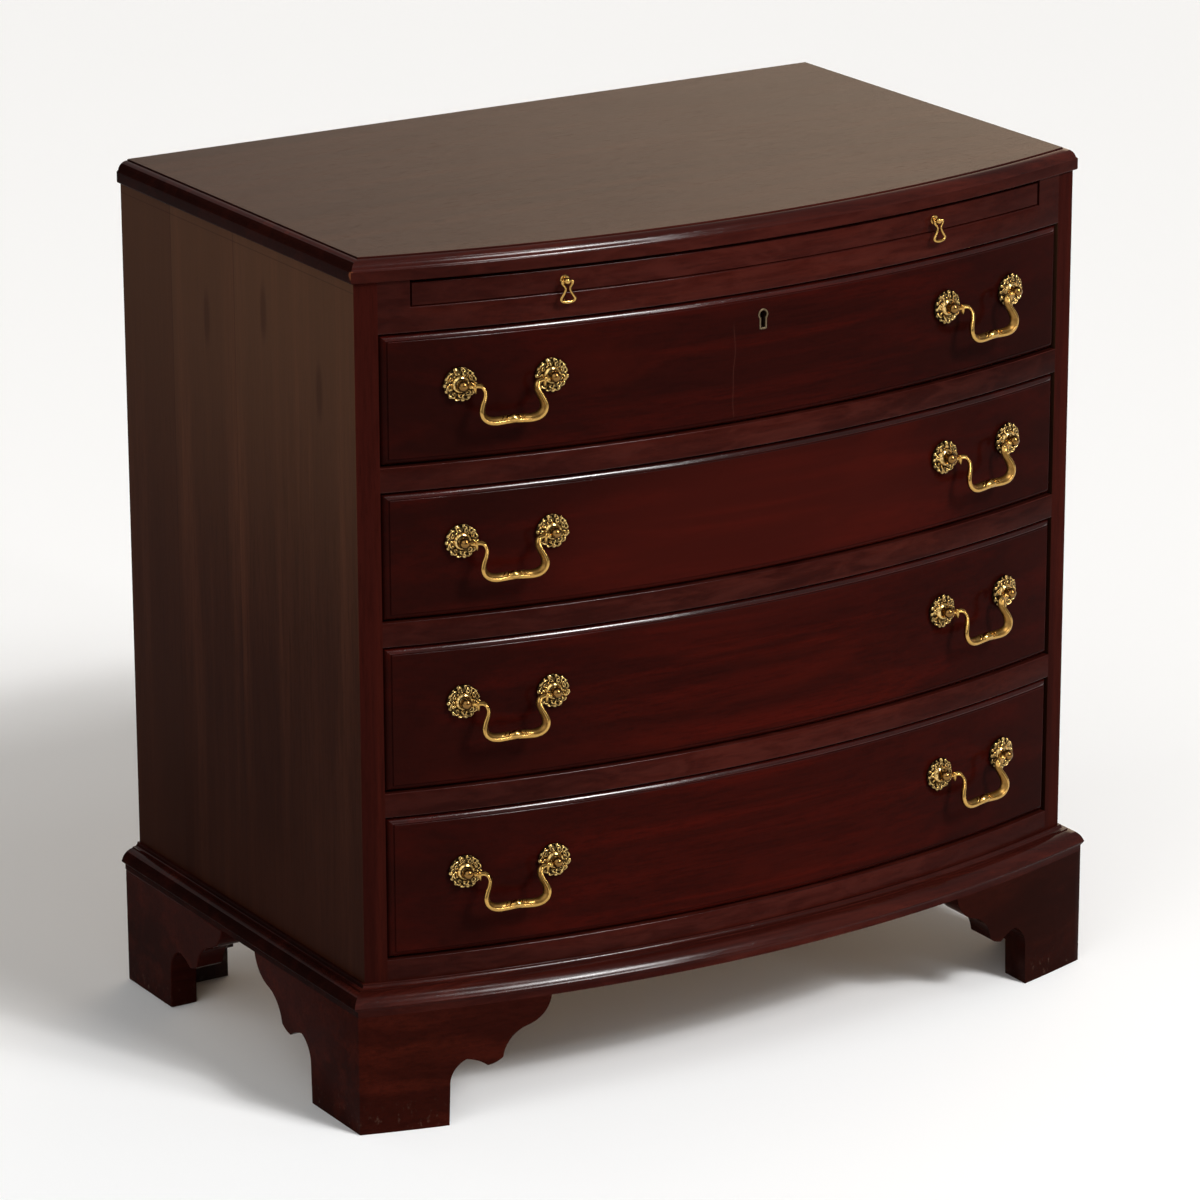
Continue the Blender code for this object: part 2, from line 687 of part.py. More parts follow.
def pull_post_profile():
    """Nut, shank through the drawer front, lobed rosette and the ball that holds a bail."""
    inside = -FRONT_THICKNESS - GLUE_GAP
    seat = GLUE_GAP
    rise = ROSETTE_HEIGHT
    radius = ROSETTE_RADIUS
    lobe = ROSETTE_LOBE_DEPTH
    sides = TURNED_SIDES
    rings = [
        (NUT_RADIUS, inside - NUT_HEIGHT, sides, 0.0),
        (NUT_RADIUS, inside, sides, 0.0),
        (SHANK_RADIUS, inside, sides, 0.0),
        (SHANK_RADIUS, seat, sides, 0.0),
        (0.80 * radius, seat, 2 * sides, 0.0),
        (radius, seat + 0.2 * rise, 2 * sides, lobe),
        (0.92 * radius, seat + 0.8 * rise, 2 * sides, lobe),
        (0.55 * radius, seat + rise, sides, 0.0),
        (0.62 * BALL_RADIUS, BALL_REACH - 0.85 * BALL_RADIUS, sides, 0.0),
    ]
    return rings + ball_rings(BALL_RADIUS, BALL_REACH, -25)


def facing_out(angle):
    """The rotation that turns a piece's own Z along the bow's radius at angle."""
    return (math.pi / 2, 0.0, angle)


def cylinder(name, sides, clear_radius, length, location, rotation):
    """A cylinder whose flats, not its corners, lie at clear_radius."""
    bpy.ops.mesh.primitive_cylinder_add(
        vertices=sides, radius=clear_radius / math.cos(math.pi / sides), depth=length,
        location=location, rotation=rotation)
    made = bpy.context.object
    made.name = name
    return made


def shank_hole(name, angle, height, length, reach):
    return cylinder(name, TURNED_SIDES, SHANK_RADIUS + PIN_GAP, length,
                    bow_point(angle, reach, height), facing_out(angle))


def pin_bore(name, angle, pin_radius, length, pivot):
    """A bore along a handle's hinge line, centred on pivot."""
    return cylinder(name, BAR_SIDES, pin_radius + PIN_GAP, length, pivot, (0.0, math.pi / 2, angle))


def tube(name, route, side, closed, finish):
    """A round bar along a route of X, Y, Z and radius; side is a way the route never runs."""
    spots = [Vector(point[:3]) for point in route]
    count = len(spots)
    rings = []
    for number, point in enumerate(route):
        if closed:
            ahead = spots[(number + 1) % count] - spots[number - 1]
        else:
            ahead = spots[min(number + 1, count - 1)] - spots[max(number - 1, 0)]
        across = ahead.cross(Vector(side)).normalized()
        out = across.cross(ahead).normalized()
        ring = []
        for corner in range(BAR_SIDES):
            turn = 2 * math.pi * corner / BAR_SIDES
            ring.append(spots[number] + point[3] * (math.cos(turn) * across + math.sin(turn) * out))
        rings.append(ring)
    if closed:
        corners = [corner for ring in rings + rings[:1] for corner in ring]
        made = solid(name, corners, ring_faces(count + 1, BAR_SIDES), finish)
    else:
        made = loft(name, rings, finish)
    round_shading(made)
    return made


def bail_route(half_span):
    """A bail from the pin in its left post to the one in its right, as X, Y, Z and radius."""
    wide = BAIL_WIDTH / 2 - BAIL_LEG_RADIUS
    neck = wide - BAIL_NECK_INSET
    eye = half_span - BALL_RADIUS - PIN_GAP
    bend = [
        (-eye + BAIL_COLLAR_LENGTH, 0.0, 0.0, BAIL_COLLAR_RADIUS),
        (-eye + 1.5 * BAIL_COLLAR_LENGTH, -0.05 * BAIL_LEAN, 0.0, BAIL_NECK_RADIUS),
        (-0.35 * eye - 0.65 * neck, -0.2 * BAIL_LEAN, 0.01 * BAIL_DROP, BAIL_NECK_RADIUS),
        (-neck - 0.4 * BAIL_NECK_RADIUS, -0.42 * BAIL_LEAN, -0.05 * BAIL_DROP, BAIL_NECK_RADIUS),
        (-neck + 0.1 * BAIL_NECK_RADIUS, -0.62 * BAIL_LEAN, -0.19 * BAIL_DROP, BAIL_NECK_RADIUS),
        (-neck - 0.45 * BAIL_NECK_INSET, -0.92 * BAIL_LEAN, -0.45 * BAIL_DROP, 0.9 * BAIL_LEG_RADIUS),
        (-wide, -1.06 * BAIL_LEAN, -0.70 * BAIL_DROP, BAIL_LEG_RADIUS),
        (-0.90 * wide, -1.1 * BAIL_LEAN, -0.90 * BAIL_DROP, BAIL_LEG_RADIUS),
        (-0.66 * wide, -1.05 * BAIL_LEAN, -1.01 * BAIL_DROP, BAIL_BAR_RADIUS),
        (-0.36 * wide, -1.02 * BAIL_LEAN, -1.02 * BAIL_DROP, BAIL_BAR_RADIUS),
    ]
    knop = [
        (-0.25 * wide, -BAIL_LEAN, -BAIL_DROP, 0.75 * BAIL_KNOP_RADIUS),
        (-0.19 * wide, -BAIL_LEAN, -BAIL_DROP, 0.62 * BAIL_KNOP_RADIUS),
        (-0.07 * wide, -BAIL_LEAN, -BAIL_DROP, BAIL_KNOP_RADIUS),
    ]
    pin = [
        (-half_span - BAIL_PIN_LENGTH / 2, 0.0, 0.0, BAIL_PIN_RADIUS),
        (-eye, 0.0, 0.0, BAIL_PIN_RADIUS),
        (-eye, 0.0, 0.0, BAIL_COLLAR_RADIUS),
    ]
    left = pin + bend + knop
    right = [(-x, y, z, radius) for x, y, z, radius in reversed(left)]
    return left + right


def drop_route():
    """A slide's drop loop: its pin in the post, and the stirrup below it."""
    wide = DROP_WIDTH / 2 - DROP_WIRE_RADIUS
    shoulder = DROP_BALL_RADIUS + PIN_GAP + DROP_PIN_RADIUS
    shape = [
        (-shoulder, 0.0, -0.15 * shoulder, DROP_PIN_RADIUS),
        (-0.80 * wide, -0.3 * DROP_LEAN, -0.32 * DROP_LENGTH, 0.8 * DROP_WIRE_RADIUS),
        (-0.98 * wide, -0.7 * DROP_LEAN, -0.66 * DROP_LENGTH, DROP_WIRE_RADIUS),
        (-0.82 * wide, -DROP_LEAN, -0.92 * DROP_LENGTH, 1.1 * DROP_WIRE_RADIUS),
        (-0.25 * wide, -DROP_LEAN, -DROP_LENGTH, 1.3 * DROP_WIRE_RADIUS),
    ]
    left = [(-0.85 * shoulder, 0.0, 0.0, DROP_PIN_RADIUS)] + smooth_route(shape, 2)
    right = [(-x, y, z, radius) for x, y, z, radius in reversed(left)]
    return left + right


def make_pull(drawer, hand, height, front):
    """Two posts, their bores and the bail between them."""
    side = "left" if hand < 0 else "right"
    middle = pull_angle(hand)
    half = post_half_angle()
    balls = []
    holes = []
    posts = []
    for place, offset in (("outer", hand * half), ("inner", -hand * half)):
        angle = middle + offset
        name = f"{drawer}_{side}_{place}_post"
        post = turned(name, pull_post_profile(), brass())
        post.location = bow_point(angle, FRONT_PROUD, height)
        post.rotation_euler = facing_out(angle)
        balls.append(bow_point(angle, FRONT_PROUD + BALL_REACH, height))
        holes.append(shank_hole(f"hole_{name}", angle, height, 3 * FRONT_THICKNESS, FRONT_PROUD))
        posts.append(post)
    bpy.context.view_layer.update()
    combine(front, joined(f"holes_{drawer}_{side}", holes), "DIFFERENCE")
    pivot = (balls[0] + balls[1]) / 2
    half_span = (balls[0] - balls[1]).length / 2
    bore = pin_bore(f"bore_{drawer}_{side}", middle, BAIL_PIN_RADIUS,
                    2 * half_span + BAIL_PIN_LENGTH + 2 * PIN_GAP, pivot)
    for post in posts:
        combine(post, bore, "DIFFERENCE")
    bail = tube(f"{drawer}_{side}_bail", bail_route(half_span), (0.0, -1.0, 0.0), False, brass())
    bail.location = pivot
    bail.rotation_euler = (0.0, 0.0, middle)
    return posts + [bail]


def keyhole_outline(grow):
    """A round head over a straight leg, as X and Z about the head's centre."""
    radius = ESCUTCHEON_HEAD_RADIUS + grow
    leg = ESCUTCHEON_LEG_HALF + grow
    foot = ESCUTCHEON_HEAD_RADIUS - ESCUTCHEON_HEIGHT - grow
    start = -math.acos(leg / radius)
    turn = math.pi - 2 * start
    head = [(radius * math.cos(angle), radius * math.sin(angle))
            for angle in spaced(start, start + turn, KEYHOLE_STEPS)]
    corner = 0.3 * leg
    return head + [(-leg, foot + corner), (-leg + corner, foot), (leg - corner, foot), (leg, foot + corner)]


def keyhole_prism(name, grow, front, back, height, finish):
    outline = [(x, height + z) for x, z in keyhole_outline(grow)]
    return forward_prism(name, outline, front, back, finish)


def key_height():
    low = drawer_levels()[0][0]
    return low + KEY_HEIGHT


def lock_back_y():
    return bow_y(LOCK_WIDTH / 2, FRONT_INNER_REACH)


def lock_middle_y():
    return lock_back_y() - LOCK_DEPTH / 2


def lock_box(name, grow, finish):
    """The lock's case, or with grow the mortise for it at the top of the drawer front."""
    top = drawer_levels()[0][1] - FRONT_GAP
    half = LOCK_WIDTH / 2 + grow
    return box(name, (-half, lock_back_y() - LOCK_DEPTH - grow, top - LOCK_HEIGHT - grow),
               (half, lock_back_y() + (CUT_MARGIN if grow else 0.0), top + (CUT_MARGIN if grow else 0.0)),
               finish)


def bolt_box(name, grow, finish):
    """The bolt, drawn in, or with grow the channel that it rises from."""
    top = drawer_levels()[0][1] - FRONT_GAP
    half = BOLT_WIDTH / 2 + grow
    thick = BOLT_THICKNESS / 2 + grow
    return box(name, (-half, lock_middle_y() - thick, top - BOLT_LENGTH - grow),
               (half, lock_middle_y() + thick, top + (CUT_MARGIN if grow else 0.0)), finish)


def make_lock(front):
    """The escutcheon let into the drawer front, the lock behind it and the lock's bolt."""
    face = bow_y(0.0, FRONT_PROUD)
    height = key_height()
    combine(front, keyhole_prism("escutcheon_socket", GLUE_GAP, face - CUT_MARGIN,
                                 face + ESCUTCHEON_DEPTH + GLUE_GAP, height, brass()), "DIFFERENCE")
    through = keyhole_prism("keyhole", -ESCUTCHEON_RIM, face - CUT_MARGIN, lock_back_y() - LOCK_DEPTH / 2,
                            height, brass())
    combine(front, through, "DIFFERENCE")
    combine(front, lock_box("lock_mortise", GLUE_GAP, brass()), "DIFFERENCE")
    ring = keyhole_prism("escutcheon", 0.0, face - ESCUTCHEON_PROUD, face + ESCUTCHEON_DEPTH, height, brass())
    combine(ring, through, "DIFFERENCE")
    case = lock_box("lock_case", 0.0, lock_steel())
    combine(case, bolt_box("bolt_channel", RUN_GAP, lock_steel()), "DIFFERENCE")
    key_pocket = keyhole_prism("key_pocket", -ESCUTCHEON_RIM, lock_back_y() - LOCK_DEPTH - CUT_MARGIN,
                               lock_back_y() - 0.75 * LOCK_DEPTH, height, lock_steel())
    combine(case, key_pocket, "DIFFERENCE")
    bolt = bolt_box("lock_bolt", 0.0, lock_steel())
    bolt_carrier = marker("lock_bolt_throw", (0.0, lock_middle_y(), drawer_levels()[0][1] - FRONT_GAP))
    carried_by([bolt], bolt_carrier)
    return [ring, case, bolt_carrier]


def make_drawer(number, low, high):
    name = f"drawer_{number}"
    front = make_front(name + "_front", low + FRONT_GAP, high - FRONT_GAP)
    frame = make_box(name + "_box", low, high)
    board = bottom_slab(name + "_bottom", low, 0.0, BOX_BACK_Y)
    sockets = tail_prisms("sockets_" + name, low + RUN_GAP, high - DRAWER_SIDE_DROP, GLUE_GAP)
    combine(front, sockets, "DIFFERENCE")
    combine(front, bottom_slab("front_groove_" + name, low, GLUE_GAP, BOX_BACK_Y), "DIFFERENCE")
    pieces = [front, frame, board]
    height = (low + high) / 2 + PULL_RISES[number - 1]
    for hand in (-1, 1):
        pieces += make_pull(name, hand, height, front)
    if number == 1:
        pieces += make_lock(front)
    carrier = marker(name + "_run", (0.0, bow_y(0.0), (low + high) / 2))
    carried_by(pieces, carrier)


def drop_post_profile():
    """A screw into the slide's edge, a small plate and the ball that holds a loop."""
    seat = GLUE_GAP
    sides = TURNED_SIDES
    rings = [
        (0.6 * SHANK_RADIUS, -DROP_SHANK_LENGTH, sides, 0.0),
        (SHANK_RADIUS, -0.8 * DROP_SHANK_LENGTH, sides, 0.0),
        (SHANK_RADIUS, seat, sides, 0.0),
        (DROP_PLATE_RADIUS, seat, sides, 0.0),
        (DROP_PLATE_RADIUS, seat + DROP_PLATE_HEIGHT, sides, 0.0),
        (0.55 * DROP_BALL_RADIUS, seat + 1.75 * DROP_PLATE_HEIGHT, sides, 0.0),
    ]
    return rings + ball_rings(DROP_BALL_RADIUS, DROP_BALL_REACH, -45)


def make_drop_pull(hand, board):
    side = "left" if hand < 0 else "right"
    angle = hand * math.asin(DROP_X / BOW_RADIUS)
    height = SLIDE_BOTTOM + DROP_RISE
    post = turned(f"slide_{side}_post", drop_post_profile(), brass())
    post.location = bow_point(angle, -SLIDE_RECESS, height)
    post.rotation_euler = facing_out(angle)
    hole = shank_hole(f"hole_slide_{side}", angle, height, 2 * (DROP_SHANK_LENGTH + PIN_GAP), -SLIDE_RECESS)
    combine(board, hole, "DIFFERENCE")
    pivot = bow_point(angle, DROP_BALL_REACH - SLIDE_RECESS, height)
    bore = pin_bore(f"bore_slide_{side}", angle, DROP_PIN_RADIUS, 6 * DROP_BALL_RADIUS, pivot)
    combine(post, bore, "DIFFERENCE")
    loop = tube(f"slide_{side}_loop", drop_route(), (0.0, -1.0, 0.0), True, brass())
    loop.location = pivot
    loop.rotation_euler = (0.0, 0.0, angle)
    return [post, loop]


def make_slide():
    """The brushing slide: a board that pulls out under the top, with two drop pulls."""
    back = INNER_BACK_Y - SLIDE_BACK_SPACE
    high = SLIDE_BOTTOM + SLIDE_THICKNESS
    edge = SLIDE_EDGE_ROUND
    rings = []
    for inset, z in ((edge, SLIDE_BOTTOM), (0.0, SLIDE_BOTTOM + edge), (0.0, high - edge), (edge, high)):
        stations = spaced(-SLIDE_HALF_WIDTH, SLIDE_HALF_WIDTH, BOW_STEPS)
        front = [(x, bow_y(x, -SLIDE_RECESS - inset)) for x in stations]
        plan = [(-SLIDE_HALF_WIDTH, back)] + front + [(SLIDE_HALF_WIDTH, back)]
        rings.append([(x, y, z) for x, y in plan])
    board = loft("slide_board", rings, mahogany())
    pieces = [board]
    for hand in (-1, 1):
        pieces += make_drop_pull(hand, board)
    carried_by(pieces, marker("slide_run", (0.0, bow_y(0.0), SLIDE_BOTTOM)))


def make_case():
    make_top()
    make_side("side_left", -1)
    make_side("side_right", 1)
    make_back_panel()
    make_slide_rail()
    for number, (low, _) in enumerate(drawer_levels()[:-1], start=1):
        make_rail(f"rail_below_drawer_{number}", low - RAIL_HEIGHT, low)
    make_rail("bottom_board", CASE_BOTTOM, BOTTOM_RAIL_TOP)
    make_base_moulding()
    for side, hand in (("left", -1), ("right", 1)):
        make_front_foot(f"foot_front_{side}", hand)
        make_rear_side_bracket(f"foot_rear_{side}_side", hand)
        make_rear_bracket(f"foot_rear_{side}_back", hand)


clear_scene()
make_case()
make_slide()
for drawer_number, (opening_low, opening_high) in enumerate(drawer_levels(), start=1):
    make_drawer(drawer_number, opening_low, opening_high)
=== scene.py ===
"""Looks of the bow-front bachelor chest: fine mouldings, cast brass pulls and finishes.

Metres, +Z up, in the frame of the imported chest: X runs across it and its front faces -Y.
A reach is how far a surface stands outside the case, along the bow's radius in front.
"""
import math

import bmesh
import bpy
from mathutils import Matrix, Vector

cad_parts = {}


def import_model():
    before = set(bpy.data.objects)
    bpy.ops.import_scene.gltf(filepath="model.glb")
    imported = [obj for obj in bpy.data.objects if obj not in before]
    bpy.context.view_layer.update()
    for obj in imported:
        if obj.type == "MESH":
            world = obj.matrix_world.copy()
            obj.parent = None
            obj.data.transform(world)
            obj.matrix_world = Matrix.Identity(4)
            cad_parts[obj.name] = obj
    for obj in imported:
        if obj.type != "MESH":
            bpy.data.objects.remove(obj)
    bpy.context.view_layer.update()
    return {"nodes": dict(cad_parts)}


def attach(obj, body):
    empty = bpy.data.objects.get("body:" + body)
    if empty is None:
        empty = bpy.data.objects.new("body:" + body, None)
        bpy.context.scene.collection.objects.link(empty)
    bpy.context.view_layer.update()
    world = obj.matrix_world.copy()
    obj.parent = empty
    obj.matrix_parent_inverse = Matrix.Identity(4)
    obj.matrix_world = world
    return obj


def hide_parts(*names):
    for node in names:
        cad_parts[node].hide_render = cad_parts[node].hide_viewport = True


# The case
CASE_HALF = 0.363
INNER_HALF = 0.3438
BACK_Y = 0.2428
INNER_BACK_Y = 0.2348
BOW_RADIUS = (0.363 ** 2 + 0.056 ** 2) / (2 * 0.056)
BOW_CENTRE_Y = BACK_Y - 0.409 - 0.056 + BOW_RADIUS
RAIL_HEIGHT = 0.0213
RAIL_DEPTH = 0.050
DUST_BOARD = 0.010
FOOT_HEIGHT = 0.107
BASE_TOP = 0.1305
CASE_BOTTOM = 0.124
BOTTOM_RAIL_TOP = 0.1492
SLIDE_RAIL_TOP = 0.7188
TOP_UNDERSIDE = 0.742
TOP_SURFACE = 0.762
# Of each drawer's opening, from the top one down: its lower and its upper edge
DRAWERS = ((0.5833, 0.6975), (0.4490, 0.5620), (0.2986, 0.4277), (0.1492, 0.2773))

# Mouldings and feet
TOP_REACH = 0.0034
TOP_STRIP_TOP = TOP_UNDERSIDE + 0.0105
TOP_OVOLO = 0.0080
TOP_UNDERCUT = 0.0015
TOP_FILLET = 0.0012
BASE_SIDE_REACH = 0.0189
BASE_FRONT_REACH = 0.0206
BASE_SEAT = 0.024
FOOT_SIDE_REACH = 0.0153
FOOT_FRONT_REACH = 0.0190
SIDE_BRACKET = 0.026
FRONT_BRACKET = 0.030
FRONT_LEG = 0.0753
SIDE_LEG = 0.0830
FRONT_SCROLL = 0.0912
SIDE_SCROLL = 0.0991
LEG_STRAIGHT = 0.035
FOOT_EASE = 0.0012
# Of each curve of a scroll: the share of its reach, the height and the bulge it ends with
SCROLL_CURVES = (
    (0.17, 0.0588, 0.0045),
    (0.37, 0.0507, 0.0014),
    (0.52, 0.0565, -0.0012),
    (0.78, 0.0830, 0.0055),
    (1.00, 0.107, -0.0045),
)

# Drawer fronts
FRONT_THICKNESS = 0.020
FRONT_PROUD = 0.0008
FRONT_STEP = 0.0013
FRONT_ROUND = 0.0055
FRONT_GAP = 0.0016
FRONT_HALF = INNER_HALF - FRONT_GAP
FRONT_INNER = FRONT_PROUD - FRONT_THICKNESS
SIDE_BOARD = 0.012
TAILS = 3
TAIL_LENGTH = 0.009
TAIL_WIDTH = 0.024
TAIL_FLARE = 0.002
SIDE_RISE = 0.0005
SIDE_DROP = 0.006
GROOVE_DEPTH = 0.005
GROOVE_BACK_Y = 0.1
BOTTOM_RISE = 0.0095
BOTTOM_THICKNESS = 0.006

# Brushing slide
SLIDE_HALF = 0.3153
SLIDE_OPENING_HALF = 0.3173
SLIDE_BOTTOM = 0.7193
SLIDE_THICKNESS = 0.0198
SLIDE_RECESS = 0.001
SLIDE_BACK_Y = INNER_BACK_Y - 0.030
SLIDE_ROUND = 0.0012

# Brass
PULL_X = 0.2387
PULL_BORING = 0.0797
# How far each drawer's pulls sit above its middle
PULL_RISES = (0.0104, 0.0102, 0.0119, 0.0100)
BALL_RADIUS = 0.0049
BALL_REACH = 0.010
BAIL_LEAN = 0.009
DROP_X = 0.186
DROP_RISE = 0.0102
DROP_BALL_RADIUS = 0.0029
DROP_BALL_REACH = 0.0055

# Lock
KEY_HEIGHT = 0.6764
KEY_RADIUS = 0.0050
KEY_LEG = 0.0037
KEY_LENGTH = 0.0178
KEY_RING = 0.0015
ESCUTCHEON_DEPTH = 0.003
LOCK_HALF = 0.025
LOCK_HEIGHT = 0.038
LOCK_DEPTH = 0.011
# The hole for the bolt: half its width, half its depth and its height
BOLT_HOLE = (0.0085, 0.003, 0.0065)

# Marks of age: dents in X and Y, joints of the side boards in Y with how dark the next board is,
# knots in Y and Z, and the hairline's place left of the middle and its two ends
TOP_DENTS = ((-0.262, 0.045), (-0.240, -0.093))
SIDE_JOINTS = ((BACK_Y - 0.204, 0.12), (BACK_Y - 0.091, 0.30))
SIDE_KNOTS = ((BACK_Y - 0.349, 0.636), (BACK_Y - 0.255, 0.683), (BACK_Y - 0.154, 0.655))
# the height of a thin painted shadow line on the sides, under the top's overhang
SIDE_SHADOW_LINE = TOP_UNDERSIDE - 0.0085
CRACK_LEFT = (0.026, 0.032)
CRACK_FOOT = (0.586, 0.594)
CRACK_HEAD = (0.664, 0.676)

# The main light's azimuth and elevation in degrees, and how far off and over what the lamps hang
MAIN_LIGHT = (21.0, 42.0)
LAMP_DISTANCE = 3.0
LAMP_AIM = Vector((0.0, 0.0, 0.4))

# In general; an overcut is how far a cutting tool passes the wood
GLUE_GAP = 0.0003
OVERCUT = 0.002
ARRIS = 0.0006
BOW_STEPS = 96
CURVE_STEPS = 10


# Shapes

def bow_y(x, reach=0.0):
    return BOW_CENTRE_Y - math.sqrt((BOW_RADIUS + reach) ** 2 - x ** 2)


def bow_point(angle, reach, height):
    radius = BOW_RADIUS + reach
    return Vector((radius * math.sin(angle), BOW_CENTRE_Y - radius * math.cos(angle), height))


def spaced(first, last, steps):
    return [first + (last - first) * step / steps for step in range(steps + 1)]


def arc(start, end, bulge, steps=CURVE_STEPS):
    """Points on a circular arc to end, without start; a positive bulge is left of the way."""
    first = complex(*start)
    chord = complex(*end) - first
    half_turn = 2 * math.atan(2 * bulge / abs(chord))
    centre = first + chord / 2 - 1j * chord / (2 * math.tan(half_turn))
    points = []
    for step in range(1, steps + 1):
        turn = -2 * half_turn * step / steps
        point = centre + (first - centre) * complex(math.cos(turn), math.sin(turn))
        points.append((point.real, point.imag))
    return points


def linked(name, data):
    """A new object in the scene."""
    made = bpy.data.objects.new(name, data)
    bpy.context.collection.objects.link(made)
    return made


def shaped(name, corners, faces, *finishes, crease=32):
    """A closed mesh with merged corners, outward faces and smooth shading between creases."""
    mesh = bpy.data.meshes.new(name)
    mesh.from_pydata([tuple(corner) for corner in corners], [], faces)
    shape = bmesh.new()
    shape.from_mesh(mesh)
    bmesh.ops.remove_doubles(shape, verts=shape.verts, dist=0.000001)
    bmesh.ops.recalc_face_normals(shape, faces=shape.faces)
    shape.to_mesh(mesh)
    shape.free()
    for finish in finishes:
        mesh.materials.append(finish)
    made = linked(name, mesh)
    soften(made, crease)
    return made


def soften(made, crease=32):
    made.data.shade_smooth()
    made.data.set_sharp_from_angle(angle=math.radians(crease))


def ring_faces(rings, size):
    faces = []
    for ring in range(rings - 1):
        for corner in range(size):
            after = (corner + 1) % size
            faces.append((ring * size + corner, ring * size + after,
                          (ring + 1) * size + after, (ring + 1) * size + corner))
    return faces


def corners_of(rings):
    return [corner for ring in rings for corner in ring]


def loft(name, rings, *finishes, crease=32):
    size = len(rings[0])
    last = (len(rings) - 1) * size
    faces = ring_faces(len(rings), size)
    faces += [tuple(range(size)), tuple(range(last, last + size))]
    return shaped(name, corners_of(rings), faces, *finishes, crease=crease)


def upright_prism(name, outline, low, high, finish):
    return loft(name, [[(x, y, z) for x, y in outline] for z in (low, high)], finish)


def crossways_prism(name, outline, left, right, finish):
    return loft(name, [[(x, y, z) for y, z in outline] for x in (left, right)], finish)


def forward_prism(name, outline, front, back, finish):
    return loft(name, [[(x, y, z) for x, z in outline] for y in (front, back)], finish)


def box(name, low, high, finish):
    outline = [(low[0], low[1]), (high[0], low[1]), (high[0], high[1]), (low[0], high[1])]
    return upright_prism(name, outline, low[2], high[2], finish)


def joined(name, pieces):
    """One object that holds the shapes of several, which are removed."""
    finishes = []
    shape = bmesh.new()
    for piece in pieces:
        piece.data.transform(piece.matrix_world)
        slots = []
        for finish in piece.data.materials:
            if finish not in finishes:
                finishes.append(finish)
            slots.append(finishes.index(finish))
        for polygon in piece.data.polygons:
            polygon.material_index = slots[polygon.material_index]
        shape.from_mesh(piece.data)
    mesh = bpy.data.meshes.new(name)
    shape.to_mesh(mesh)
    shape.free()
    for finish in finishes:
        mesh.materials.append(finish)
    for piece in pieces:
        bpy.data.objects.remove(piece, do_unlink=True)
    return linked(name, mesh)


def settled(made):
    """Turns an object's modifiers into its plain mesh."""
    bpy.context.view_layer.update()
    evaluated = made.evaluated_get(bpy.context.evaluated_depsgraph_get())
    mesh = bpy.data.meshes.new_from_object(evaluated)
    made.modifiers.clear()
    made.data = mesh
    return made


def cut(target, *tools):
    """Cuts tools out of a target and removes them."""
    for tool in tools:
        change = target.modifiers.new(tool.name, "BOOLEAN")
        change.operation = "DIFFERENCE"
        change.solver = "EXACT"
        change.object = tool
    settled(target)
    for tool in tools:
        bpy.data.objects.remove(tool, do_unlink=True)
    soften(target)
    return target


def eased(target, width):
    """Rounds a piece's hard edges a little."""
    bevel = target.modifiers.new("eased_edges", "BEVEL")
    bevel.width = width
    bevel.segments = 2
    bevel.limit_method = "ANGLE"
    bevel.angle_limit = math.radians(40)
    bevel.use_clamp_overlap = True
    settled(target)
    soften(target, 20)
    return target


def fitted(piece, body, slot, *nodes):
    """A finished piece rides on its body and stands for its CAD nodes."""
    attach(piece, body)
    if nodes:
        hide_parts(*nodes)
    return piece


# Finishes

def feed(tree, value, socket):
    """Links a socket to another one, or sets it; a colour is given as red, green and blue."""
    if isinstance(value, bpy.types.NodeSocket):
        tree.links.new(value, socket)
    elif socket.type == "RGBA":
        socket.default_value = (*value, 1.0)
    else:
        socket.default_value = value


def add_node(tree, kind, inputs, **settings):
    made = tree.nodes.new(kind)
    for key, value in settings.items():
        setattr(made, key, value)
    for key, value in inputs.items():
        feed(tree, value, made.inputs[key])
    return made


